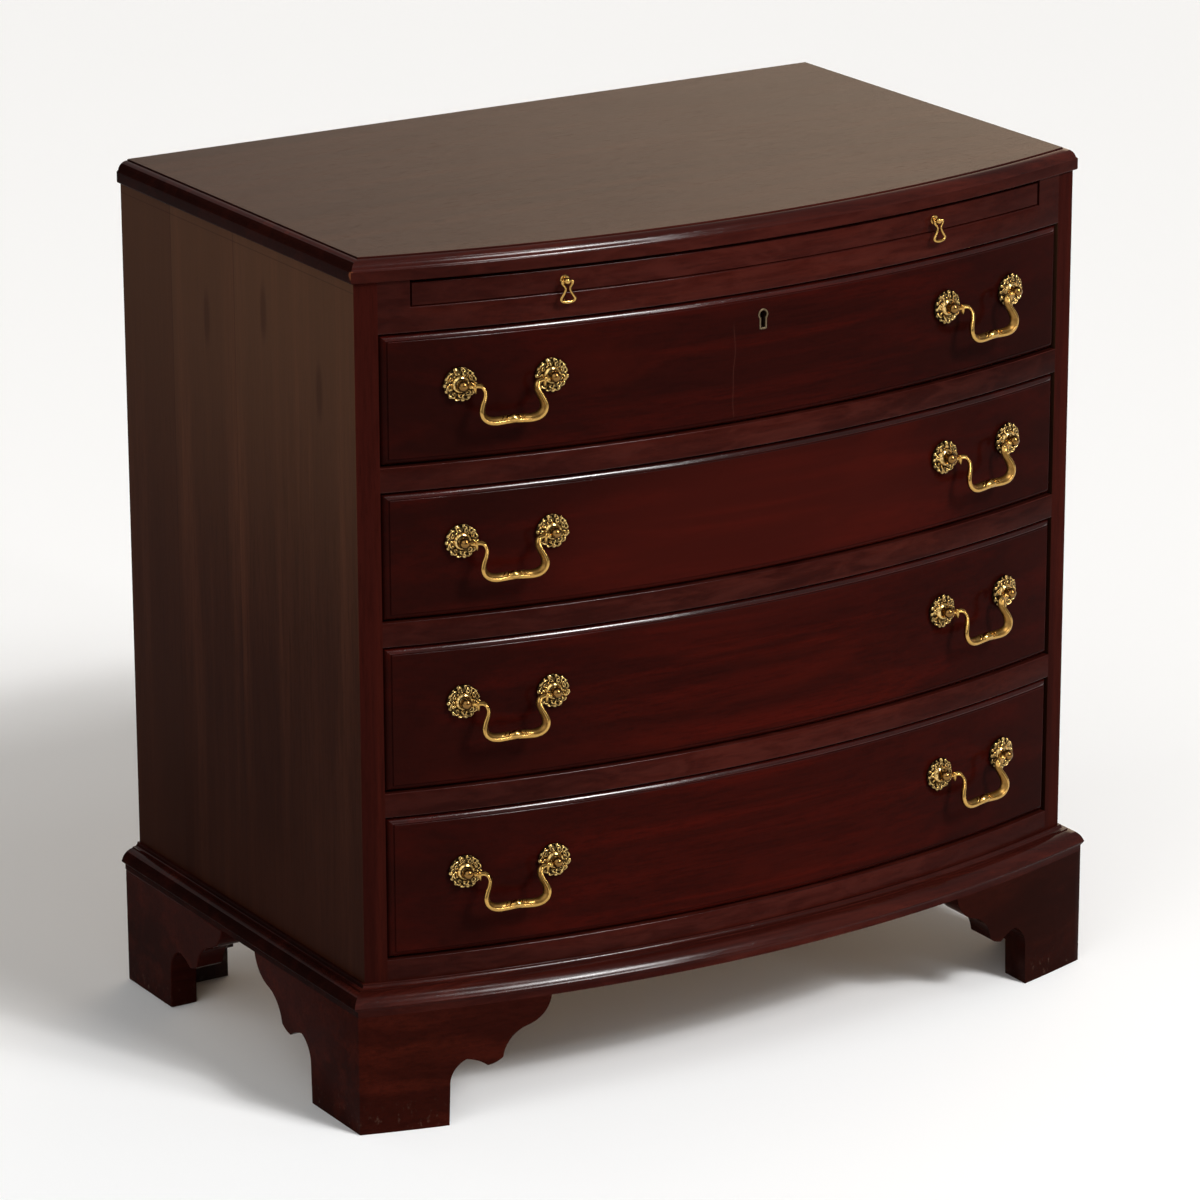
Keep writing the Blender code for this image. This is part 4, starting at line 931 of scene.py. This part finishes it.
def lock_tools(top, finish):
    """What cuts the escutcheon's seat, the keyhole and the lock's mortise."""
    face = bow_y(0.0, FRONT_PROUD)
    back = bow_y(LOCK_HALF, FRONT_INNER)
    seat = keyhole_prism("escutcheon_socket", GLUE_GAP, face - OVERCUT,
                         face + ESCUTCHEON_DEPTH + GLUE_GAP, finish)
    hole = keyhole_prism("keyhole", -KEY_RING, face - OVERCUT, back - LOCK_DEPTH / 2, finish)
    half = LOCK_HALF + GLUE_GAP
    mortise = box("lock_mortise",
                  (-half, back - LOCK_DEPTH - GLUE_GAP, top - LOCK_HEIGHT - GLUE_GAP),
                  (half, back + OVERCUT, top + OVERCUT), finish)
    return [seat, hole, mortise]


def make_drawer_front(number, finish, edge_finish):
    low, high = DRAWERS[number - 1]
    made = make_board(f"drawer_{number}_board", low + FRONT_GAP, high - FRONT_GAP, finish)
    tools = sockets(low + SIDE_RISE, high - SIDE_DROP, finish) + [groove(low, finish)]
    if number == 1:
        tools += lock_tools(high - FRONT_GAP, finish)
    return polish(cut(made, *tools), edge_finish, on_thumbnail)


def make_escutcheon(finish):
    """A thread escutcheon: a thin brass ring let into the drawer front."""
    face = bow_y(0.0, FRONT_PROUD)
    rings = []
    for grow, proud in ((0.0, -ESCUTCHEON_DEPTH), (0.0, 0.0001), (-0.0003, 0.0003),
                        (0.0003 - KEY_RING, 0.0003), (-KEY_RING, 0.0001),
                        (-KEY_RING, -ESCUTCHEON_DEPTH)):
        rings.append([(x, face - proud, KEY_HEIGHT + z) for x, z in keyhole_outline(grow)])
    faces = ring_faces(len(rings) + 1, len(rings[0]))
    return shaped("escutcheon_ring", corners_of(rings + rings[:1]), faces, finish)


def make_slide_board(finish):
    """The slide's bowed board, its front arrises rounded."""
    low, high = SLIDE_BOTTOM, SLIDE_BOTTOM + SLIDE_THICKNESS
    profile = [(SLIDE_ROUND, low)]
    profile += arc(profile[0], (0.0, low + SLIDE_ROUND), 0.00035, 4)
    profile.append((0.0, high - SLIDE_ROUND))
    profile += arc(profile[-1], (SLIDE_ROUND, high), 0.00035, 4)
    stations = spaced(-SLIDE_HALF, SLIDE_HALF, BOW_STEPS)
    rings = []
    for inset, z in profile:
        front = [(x, bow_y(x, -SLIDE_RECESS - inset), z) for x in stations]
        rings.append([(-SLIDE_HALF, SLIDE_BACK_Y, z)] + front + [(SLIDE_HALF, SLIDE_BACK_Y, z)])
    return loft("slide_panel", rings, finish)


# Brass

def turned(name, profile, finish, sides=40):
    """A turned piece about its own Z, from rings of radius and height."""
    rings = []
    for radius, height in profile:
        rings.append([(radius * math.cos(angle), radius * math.sin(angle), height)
                      for angle in spaced(0.0, 2 * math.pi, sides)[:-1]])
    return loft(name, rings, finish)


def ball_profile(radius, centre, lowest):
    """A ball from lowest, in degrees above its middle, to just short of its top."""
    angles = spaced(math.radians(lowest), math.radians(86), CURVE_STEPS)
    return [(radius * math.cos(angle), centre + radius * math.sin(angle)) for angle in angles]


def outward(angle):
    """Turns a piece's own Z along the bow's radius at angle."""
    return Matrix.Rotation(angle, 4, "Z") @ Matrix.Rotation(math.pi / 2, 4, "X")


def placed(made, angle, reach, height):
    made.data.transform(Matrix.Translation(bow_point(angle, reach, height)) @ outward(angle))
    return made


def round_section(angle):
    return math.cos(angle), math.sin(angle)


def cast_section(angle):
    """A bail's section: a strap bent on the flat, with a bead along its outer front edge."""
    slant = math.radians(50.0)
    tip, face = math.cos(angle - slant), math.sin(angle - slant)
    bead = 0.30 * math.exp(-((tip - 0.70) / 0.22) ** 2) if face > 0 else 0.0
    along, over = 1.35 * tip, (0.70 + bead) * face
    return (along * math.cos(slant) - over * math.sin(slant),
            along * math.sin(slant) + over * math.cos(slant))


def swept(name, route, finish, sides=20, section=round_section, closed=False):
    """A bar along a route of X, Y, Z and radius; a section gives its width and its depth."""
    spots = [Vector(point[:3]) for point in route]
    count = len(spots)
    rings = []
    for number, point in enumerate(route):
        if closed:
            ahead = spots[(number + 1) % count] - spots[number - 1]
        else:
            ahead = spots[min(number + 1, count - 1)] - spots[max(number - 1, 0)]
        across = ahead.cross(Vector((0.0, -1.0, 0.0))).normalized()
        out = across.cross(ahead).normalized()
        ring = []
        for angle in spaced(0.0, 2 * math.pi, sides)[:-1]:
            wide, deep = section(angle)
            ring.append(spots[number] + point[3] * (wide * across + deep * out))
        rings.append(ring)
    if closed:
        faces = ring_faces(count + 1, sides)
        return shaped(name, corners_of(rings + rings[:1]), faces, finish, crease=50)
    return loft(name, rings, finish, crease=50)


def smooth_route(points, steps):
    """A Catmull-Rom curve through points of X, Y, Z and radius."""
    padded = [points[0]] + list(points) + [points[-1]]
    route = [points[0]]
    for before, start, end, after in zip(padded, padded[1:], padded[2:], padded[3:]):
        for step in range(1, steps + 1):
            t = step / steps
            weights = (-0.5 * t + t ** 2 - 0.5 * t ** 3, 1 - 2.5 * t ** 2 + 1.5 * t ** 3,
                       0.5 * t + 2 * t ** 2 - 1.5 * t ** 3, -0.5 * t ** 2 + 0.5 * t ** 3)
            fours = zip(before, start, end, after)
            route.append(tuple(sum(w * p for w, p in zip(weights, four)) for four in fours))
    return route


def mirrored(route):
    return route + [(-x, y, z, radius) for x, y, z, radius in reversed(route)]


# Of the post's rosette, radius and height: a flat pan, a round cup and the neck of the ball
ROSETTE_PROFILE = [
    (0.0001, 0.0003), (0.0138, 0.0003), (0.0144, 0.0008), (0.0142, 0.0014), (0.0130, 0.0021),
    (0.0108, 0.0024), (0.0086, 0.0025), (0.0080, 0.0034), (0.0074, 0.0046), (0.0066, 0.0056),
    (0.0058, 0.0060), (0.0051, 0.0057), (0.0047, 0.0048), (0.0044, 0.0038), (0.0036, 0.0033),
    (0.0030, 0.0036), (0.0027, 0.0050),
]
CUP_TOP = 0.0063
# The rosette's petals, curls and beads: how many, the radius of their ring, and their sizes
ROSETTE = {
    "Petals": 15, "Petal Ring": 0.0133,
    "Petal Length": 0.0021, "Petal Width": 0.0019, "Petal Height": 0.0016,
    "Curls": 12, "Curl Ring": 0.0119, "Curl Size": 0.0020,
    "Inner Curls": 9, "Inner Ring": 0.0098, "Inner Size": 0.0015,
    "Beads": 14, "Bead Ring": 0.0088, "Bead Size": 0.0009,
    "Bow Centre": BOW_CENTRE_Y,
}


def make_post(name, brass, ball_brass):
    """A nut, a shank, the rosette's pan and cup, and the ball head."""
    inside = -FRONT_THICKNESS - GLUE_GAP
    nut = turned("nut", [(0.0001, inside - 0.0035), (0.0044, inside - 0.0035),
                         (0.0050, inside - 0.0028), (0.0050, inside), (0.0001, inside)], brass, 6)
    shank = turned("shank", [(0.0020, inside - 0.005), (0.0020, 0.001)], brass, 16)
    profile = ROSETTE_PROFILE + ball_profile(BALL_RADIUS, BALL_REACH, -54)
    head = turned("head", profile, brass)
    # the ball head takes the darker knob brass: a painted dark reflection
    polish(head, ball_brass, lambda centre, _: centre.z > CUP_TOP)
    return joined(name, [nut, shank, head])


def rosette_tree(finish):
    """Geometry nodes that set petals, curls and beads round each post of a drawer."""
    tree = bpy.data.node_groups.new("rosette_petals", "GeometryNodeTree")
    face = tree.interface
    face.new_socket("Geometry", in_out="INPUT", socket_type="NodeSocketGeometry")
    for label, value in ROSETTE.items():
        kind = "NodeSocketInt" if isinstance(value, int) else "NodeSocketFloat"
        face.new_socket(label, in_out="INPUT", socket_type=kind).default_value = value
    face.new_socket("Geometry", in_out="OUTPUT", socket_type="NodeSocketGeometry")
    given = tree.nodes.new("NodeGroupInput").outputs

    def node(kind, inputs, **settings):
        return add_node(tree, kind, inputs, **settings).outputs

    def random(low, high, seed):
        return node("FunctionNodeRandomValue", {"Min": low, "Max": high, "Seed": seed},
                    data_type="FLOAT_VECTOR")["Value"]

    def vector(x, y, z):
        return node("ShaderNodeCombineXYZ", {0: x, 1: y, 2: z})[0]

    def times(value, factor):
        return node("ShaderNodeMath", {0: value, 1: factor}, operation="MULTIPLY")[0]

    def ring_of(count, ring, shape, size, tilt, spin):
        """Copies of a shape round a ring, each turned to face out of it."""
        circle = node("GeometryNodeMeshCircle", {"Vertices": count, "Radius": ring})["Mesh"]
        points = node("GeometryNodeTransform", {"Geometry": circle,
                                                "Rotation": (0.0, 0.0, spin)})[0]
        where = node("GeometryNodeInputPosition", {})[0]
        facing = node("FunctionNodeAlignRotationToVector", {"Vector": where},
                      axis="X", pivot_axis="Z")[0]
        leaning = node("GeometryNodeTransform", {"Geometry": shape, "Scale": size,
                                                 "Rotation": (0.0, tilt, 0.0)})[0]
        uneven = random((0.60, 0.55, 0.70), (1.15, 1.35, 1.25), 5)
        copies = node("GeometryNodeInstanceOnPoints", {"Points": points, "Instance": leaning,
                                                       "Rotation": facing,
                                                       "Scale": uneven})["Instances"]
        slant = random((-0.5, -0.4, -0.8), (0.5, 0.4, 0.8), 11)
        return node("GeometryNodeRotateInstances", {"Instances": copies,
                                                    "Rotation": slant})["Instances"]

    sphere = node("GeometryNodeMeshUVSphere", {"Segments": 10, "Rings": 6, "Radius": 1.0})["Mesh"]
    small = node("GeometryNodeMeshUVSphere", {"Segments": 8, "Rings": 4, "Radius": 1.0})["Mesh"]
    circle = node("GeometryNodeCurvePrimitiveCircle", {"Resolution": 10, "Radius": 1.0})["Curve"]
    wire = node("GeometryNodeCurvePrimitiveCircle", {"Resolution": 6, "Radius": 0.34})["Curve"]
    loop = node("GeometryNodeCurveToMesh", {"Curve": circle, "Profile Curve": wire})["Mesh"]
    petal = vector(given["Petal Length"], given["Petal Width"], given["Petal Height"])
    size = given["Curl Size"]
    curl = vector(times(size, 0.85), times(size, 1.2), size)
    size = given["Inner Size"]
    inner = vector(size, times(size, 1.3), size)
    size = given["Bead Size"]
    bead = vector(size, size, size)
    raised = []
    for count, ring, shape, size, tilt, spin, rise in (
            ("Petals", "Petal Ring", sphere, petal, 0.25, 0.0, 0.0024),
            ("Curls", "Curl Ring", loop, curl, -0.35, 0.1, 0.0034),
            ("Inner Curls", "Inner Ring", loop, inner, -0.20, 0.3, 0.0038),
            ("Beads", "Bead Ring", small, bead, 0.0, 0.209, 0.0036)):
        around = ring_of(given[count], given[ring], shape, size, tilt, spin)
        raised.append(node("GeometryNodeTransform", {"Geometry": around,
                                                     "Translation": (0.0, 0.0, rise)})[0])
    gather = tree.nodes.new("GeometryNodeJoinGeometry")
    for part in raised:
        tree.links.new(part, gather.inputs[0])
    where = node("ShaderNodeSeparateXYZ", {0: node("GeometryNodeInputPosition", {})[0]})
    behind = node("ShaderNodeMath", {0: where["Y"], 1: given["Bow Centre"]},
                  operation="SUBTRACT")[0]
    radial = vector(where["X"], behind, 0.0)
    facing = node("FunctionNodeAlignRotationToVector", {"Vector": radial}, axis="Z")[0]
    posts = node("GeometryNodeInstanceOnPoints", {"Points": given["Geometry"],
                                                  "Instance": gather.outputs[0],
                                                  "Rotation": facing})["Instances"]
    real = node("GeometryNodeRealizeInstances", {"Geometry": posts})[0]
    smooth = node("GeometryNodeSetShadeSmooth", {"Geometry": real})[0]
    done = node("GeometryNodeSetMaterial", {"Geometry": smooth, "Material": finish})[0]
    result = tree.nodes.new("NodeGroupOutput")
    tree.links.new(done, result.inputs[0])
    return tree


def post_angles(hand):
    """The angles on the bow of a pull's outer and inner post."""
    middle = hand * math.asin(PULL_X / BOW_RADIUS)
    half = math.asin(PULL_BORING / 2 / BOW_RADIUS)
    return middle + hand * half, middle - hand * half


def make_rosettes(number, height, tree):
    """The petals of a drawer's four rosettes, as one plain mesh."""
    angles = post_angles(-1) + post_angles(1)
    seats = [tuple(bow_point(angle, FRONT_PROUD, height)) for angle in angles]
    name = f"drawer_{number}_petals"
    mesh = bpy.data.meshes.new(name)
    mesh.from_pydata(seats, [], [])
    made = linked(name, mesh)
    made.modifiers.new("petals", "NODES").node_group = tree
    return settled(made)


def bail_route(half_span):
    """A bail's pin, the neck that turns down, the leg and the bar, and the same mirrored."""
    eye = half_span - BALL_RADIUS
    left = [
        (-half_span, 0.0, 0.0, 0.0013),
        (-eye - 0.0002, 0.0, 0.0, 0.0013),
        (-eye + 0.0006, 0.0, -0.0001, 0.0022),
        (-eye + 0.0020, 0.0, -0.0004, 0.0021),
        (-0.0318, -0.0006, -0.0009, 0.0017),
        (-0.0276, -0.0018, -0.0001, 0.0018),
        (-0.0240, -0.0032, -0.0014, 0.0020),
        (-0.0224, -0.0050, -0.0056, 0.0022),
        (-0.0236, -0.0069, -0.0104, 0.0024),
        (-0.0260, -0.0083, -0.0154, 0.0027),
        (-0.0272, -0.0093, -0.0203, 0.0029),
        (-0.0258, -0.0098, -0.0250, 0.0030),
        (-0.0217, -0.0098, -0.0283, 0.0031),
        (-0.0163, -0.0095, -0.0296, 0.0031),
        (-0.0110, -0.0092, -0.0296, 0.0031),
        (-0.0060, -0.0090, -0.0293, 0.0031),
        (-0.0008, -0.0090, -0.0290, 0.0031),
    ]
    return mirrored(smooth_route(left, 4))


def leaf(name, centre, lengths, turn, brass):
    """A small almond-shaped leaf, cast on a bail."""
    mesh = bpy.data.meshes.new(name)
    shape = bmesh.new()
    bmesh.ops.create_uvsphere(shape, u_segments=12, v_segments=8, radius=1.0)
    for vert in shape.verts:
        vert.co.x *= 1.0 - 0.55 * abs(vert.co.z) ** 1.5
    shape.to_mesh(mesh)
    shape.free()
    mesh.materials.append(brass)
    stretched = Matrix.Rotation(turn, 4, "Y") @ Matrix.Diagonal((*lengths, 1.0))
    mesh.transform(Matrix.Translation(centre) @ stretched)
    mesh.shade_smooth()
    return linked(name, mesh)


def inwards(centre, normal):
    """The bail's broad inner face, which is rougher than its rim and painted darker, as shade."""
    middle = Vector((-centre.x, 0.0, -0.012 - centre.z)).normalized()
    return normal.dot(middle) > 0.62


def make_bail(name, hand, height, brass, shaded_face_brass):
    """A cast bail: pins and pointed collars, swan necks, and a knop between two leaves."""
    outer, inner = post_angles(hand)
    balls = [bow_point(angle, FRONT_PROUD + BALL_REACH, height) for angle in (outer, inner)]
    half_span = (balls[0] - balls[1]).length / 2
    bar = swept("bar", bail_route(half_span), brass, 40, cast_section)
    face = -BAIL_LEAN - 0.0003
    parts = [polish(bar, shaded_face_brass, inwards),
             leaf("knop", (0.0, face, -0.0290), (0.0043, 0.0043, 0.0080), math.pi / 2, brass)]
    for side in (-1, 1):
        collar = (side * (half_span - 0.0098), -0.0012, -0.0026)
        parts.append(leaf("collar", collar, (0.0017, 0.0022, 0.0048), side * 0.12, brass))
        for x, size in ((0.0068, 0.0043), (0.0103, 0.0036)):
            parts.append(leaf("leaf", (side * x, face, -0.0291), (0.0009, 0.84 * size, size),
                              side * -0.60, brass))
    bail = joined(name, parts)
    pivot = (balls[0] + balls[1]) / 2
    middle = hand * math.asin(PULL_X / BOW_RADIUS)
    bail.data.transform(Matrix.Translation(pivot) @ Matrix.Rotation(middle, 4, "Z"))
    return bail


def make_drop_post(name, angle, height, brass):
    """A ball-headed screw with a thin flange."""
    profile = [(0.0012, -0.012), (0.0020, -0.0096), (0.0020, 0.0003), (0.0038, 0.0003),
               (0.0041, 0.0006), (0.0037, 0.0010), (0.0018, 0.0013), (0.0014, 0.0019)]
    profile += ball_profile(DROP_BALL_RADIUS, DROP_BALL_REACH, -55)
    return placed(turned(name, profile, brass, 28), angle, -SLIDE_RECESS, height)


def make_drop_loop(name, angle, height, brass):
    """A stirrup loop: two bulbs beside the ball, a waist below it, and a broad curved foot."""
    shape = [
        (-0.0022, 0.0, 0.0, 0.0008),
        (-0.0034, 0.0, 0.0, 0.0009),
        (-0.0044, 0.0, -0.0002, 0.0014),
        (-0.0044, -0.0003, -0.0020, 0.0012),
        (-0.0030, -0.0008, -0.0040, 0.0009),
        (-0.0019, -0.0011, -0.0060, 0.0009),
        (-0.0028, -0.0013, -0.0090, 0.0010),
        (-0.0047, -0.0014, -0.0120, 0.0011),
        (-0.0062, -0.0015, -0.0145, 0.0012),
        (-0.0053, -0.0015, -0.0163, 0.0013),
        (-0.0028, -0.0015, -0.0172, 0.0014),
        (-0.0008, -0.0015, -0.0174, 0.0016),
    ]
    loop = swept(name, mirrored(smooth_route(shape, 4)), brass, 14, closed=True)
    pivot = bow_point(angle, DROP_BALL_REACH - SLIDE_RECESS, height)
    loop.data.transform(Matrix.Translation(pivot) @ Matrix.Rotation(angle, 4, "Z"))
    return loop


# The studio

def set_camera():
    """The photograph's own view, worked out from the chest's edges in it."""
    yaw, pitch, roll = math.radians(31.98), math.radians(18.02), math.radians(-0.162)
    ahead = Vector((math.sin(yaw) * math.cos(pitch), math.cos(yaw) * math.cos(pitch),
                    -math.sin(pitch)))
    right = Vector((math.cos(yaw), -math.sin(yaw), 0.0))
    up = right.cross(ahead)
    turned_right = math.cos(roll) * right + math.sin(roll) * up
    turned_up = math.cos(roll) * up - math.sin(roll) * right
    view = bpy.data.cameras.new("camera")
    view.sensor_width = 36.0
    view.lens = 171.948
    view.shift_x = -0.00125
    view.shift_y = 0.00225
    view.clip_end = 100.0
    camera = linked("camera", view)
    place = Matrix((turned_right, turned_up, -ahead)).transposed().to_4x4()
    place.translation = Vector((-2.5825, -4.1010, 1.9369))
    camera.matrix_world = place
    bpy.context.scene.camera = camera


def hang(lamp, azimuth, elevation):
    """Hangs a lamp so that it faces the chest; azimuth is from the front towards its right."""
    made = linked(lamp.name, lamp)
    azimuth, elevation = math.radians(azimuth), math.radians(elevation)
    source = Vector((math.sin(azimuth) * math.cos(elevation),
                     -math.cos(azimuth) * math.cos(elevation), math.sin(elevation)))
    made.rotation_euler = source.to_track_quat("Z", "Y").to_euler()
    made.location = LAMP_DISTANCE * source + LAMP_AIM


def add_sun(name, azimuth, elevation, strength, spread):
    lamp = bpy.data.lights.new(name, "SUN")
    lamp.energy = strength
    lamp.angle = math.radians(spread)
    hang(lamp, azimuth, elevation)


def add_strip(name, azimuth, elevation, power, width, length):
    """A tall narrow soft box, which draws the streaks on mouldings and brass."""
    lamp = bpy.data.lights.new(name, "AREA")
    lamp.shape = "RECTANGLE"
    lamp.size = width
    lamp.size_y = length
    lamp.energy = power
    hang(lamp, azimuth, elevation)


def set_world():
    """A dim room with one broad warm window, low behind the chest, that its top reflects."""
    world = bpy.data.worlds.new("studio")
    bpy.context.scene.world = world
    world.use_nodes = True
    tree = world.node_tree
    room, window = (0.27, 0.27, 0.265), (1.0, 0.78, 0.57)
    azimuth, rise = math.radians(56.0), math.radians(8.0)
    towards = (math.sin(azimuth) * math.cos(rise), math.cos(azimuth) * math.cos(rise),
               math.sin(rise))
    seen = tree.nodes.new("ShaderNodeTexCoord").outputs["Generated"]
    near = add_node(tree, "ShaderNodeVectorMath", {0: seen, 1: towards}, operation="DOT_PRODUCT")
    share = add_node(tree, "ShaderNodeMapRange", {"Value": near.outputs["Value"],
                                                  "From Min": 0.81, "From Max": 0.99},
                     interpolation_type="SMOOTHSTEP").outputs["Result"]
    glow = add_node(tree, "ShaderNodeMix", {0: share, 6: room, 7: window}, data_type="RGBA")
    power = add_node(tree, "ShaderNodeMapRange", {"Value": share, "To Min": 1.0, "To Max": 2.2})
    background = tree.nodes["Background"].inputs
    feed(tree, glow.outputs[2], background["Color"])
    feed(tree, power.outputs["Result"], background["Strength"])


def make_floor():
    finish = Finish("pale_floor")
    finish.set(colour=(0.96, 0.96, 0.96), roughness=0.9, specular=0.1)
    bpy.ops.mesh.primitive_plane_add(size=60.0, location=(0.0, 0.0, -0.0002))
    floor = bpy.context.object
    floor.name = "floor"
    floor.data.materials.append(finish.material)


# The whole

def dress(frame, names, finish):
    for name in names:
        frame["nodes"][name].data.materials.clear()
        frame["nodes"][name].data.materials.append(finish)


def main():
    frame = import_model()
    set_camera()
    rail, top, side = rail_finish(), top_finish(), side_finish()
    veneer, foot = drawer_finish(), foot_finish()
    deep = inner_finish("poplar_deep", 1, POPLAR)
    thumbnail = polished_finish("drawer_edge_mahogany", "drawer", 7.0, 0.4)
    moulded = polished_finish("moulded_mahogany", "case", 6.0, 0.18)
    shaded = polished_finish("shaded_mahogany", "shaded", 6.0, 0.005)
    brass = {kind: brass_finish(kind) for kind in BRASS}

    dress(frame, ("side_left", "side_right"), side)
    dress(frame, ("back_panel",), inner_finish("back_board", 2, BACK_BOARD))
    dress(frame, ("foot_rear_left_back", "foot_rear_right_back"), rear_bracket_finish())
    dress(frame, ("lock_case", "lock_bolt"), steel_finish())
    for number in range(1, len(DRAWERS) + 1):
        dress(frame, (f"drawer_{number}_box", f"drawer_{number}_bottom"), deep)

    fitted(make_top(top, rail, moulded, shaded), "case", "mahogany", "top")
    fitted(make_base_moulding(rail, moulded, shaded), "case", "mahogany", "base_moulding")
    rails = [(make_slide_rail(rail, deep), "slide_rail")]
    made = make_rail("bottom_rail", CASE_BOTTOM, BOTTOM_RAIL_TOP, rail, deep)
    rails.append((made, "bottom_board"))
    for number, (low, _) in enumerate(DRAWERS[:-1], start=1):
        made = make_rail(f"rail_{number}", low - RAIL_HEIGHT, low, rail, deep)
        rails.append((made, f"rail_below_drawer_{number}"))
    for made, node in rails:
        fitted(polish(made, moulded, on_arris), "case", "mahogany", node)
    for name, hand in (("left", -1), ("right", 1)):
        made = make_front_foot(f"front_{name}_foot", hand, foot)
        fitted(made, "case", "mahogany", f"foot_front_{name}")
        made = make_rear_side_bracket(f"rear_{name}_bracket", hand, foot)
        fitted(made, "case", "mahogany", f"foot_rear_{name}_side")

    petals = rosette_tree(brass["chased"])
    for number, (low, high) in enumerate(DRAWERS, start=1):
        body = f"drawer_{number}"
        front = make_drawer_front(number, veneer, thumbnail)
        fitted(front, body, "drawer_mahogany", f"{body}_front")
        height = (low + high) / 2 + PULL_RISES[number - 1]
        fitted(make_rosettes(number, height, petals), body, "brass")
        for side_name, hand in (("left", -1), ("right", 1)):
            pull = f"{body}_{side_name}"
            for place, angle in zip(("outer", "inner"), post_angles(hand)):
                post = make_post(f"{pull}_{place}_ball", brass["chased"], brass["knob"])
                placed(post, angle, FRONT_PROUD, height)
                fitted(post, body, "brass", f"{pull}_{place}_post")
            bail = make_bail(f"{pull}_handle", hand, height, brass["cast"], brass["dull"])
            fitted(bail, f"{pull}_bail", "brass", f"{pull}_bail")
    fitted(make_escutcheon(brass["inlaid"]), "drawer_1", "brass", "escutcheon")

    fitted(polish(make_slide_board(rail), moulded, on_arris), "slide", "mahogany", "slide_board")
    for side_name, hand in (("left", -1), ("right", 1)):
        angle = hand * math.asin(DROP_X / BOW_RADIUS)
        height = SLIDE_BOTTOM + DROP_RISE
        post = make_drop_post(f"slide_{side_name}_knob", angle, height, brass["cast"])
        fitted(post, "slide", "brass", f"slide_{side_name}_post")
        loop = make_drop_loop(f"slide_{side_name}_stirrup", angle, height, brass["cast"])
        fitted(loop, f"slide_{side_name}_loop", "brass", f"slide_{side_name}_loop")

    make_floor()
    set_world()
    add_sun("key", *MAIN_LIGHT, 1.6, 16.0)
    add_sun("glint", *MAIN_LIGHT, 0.6, 4.0)
    add_sun("fill", -62.0, 35.0, 0.8, 60.0)
    add_strip("strip", *MAIN_LIGHT, 26.0, 0.14, 3.2)
    bpy.context.scene.view_settings.view_transform = "Standard"


main()
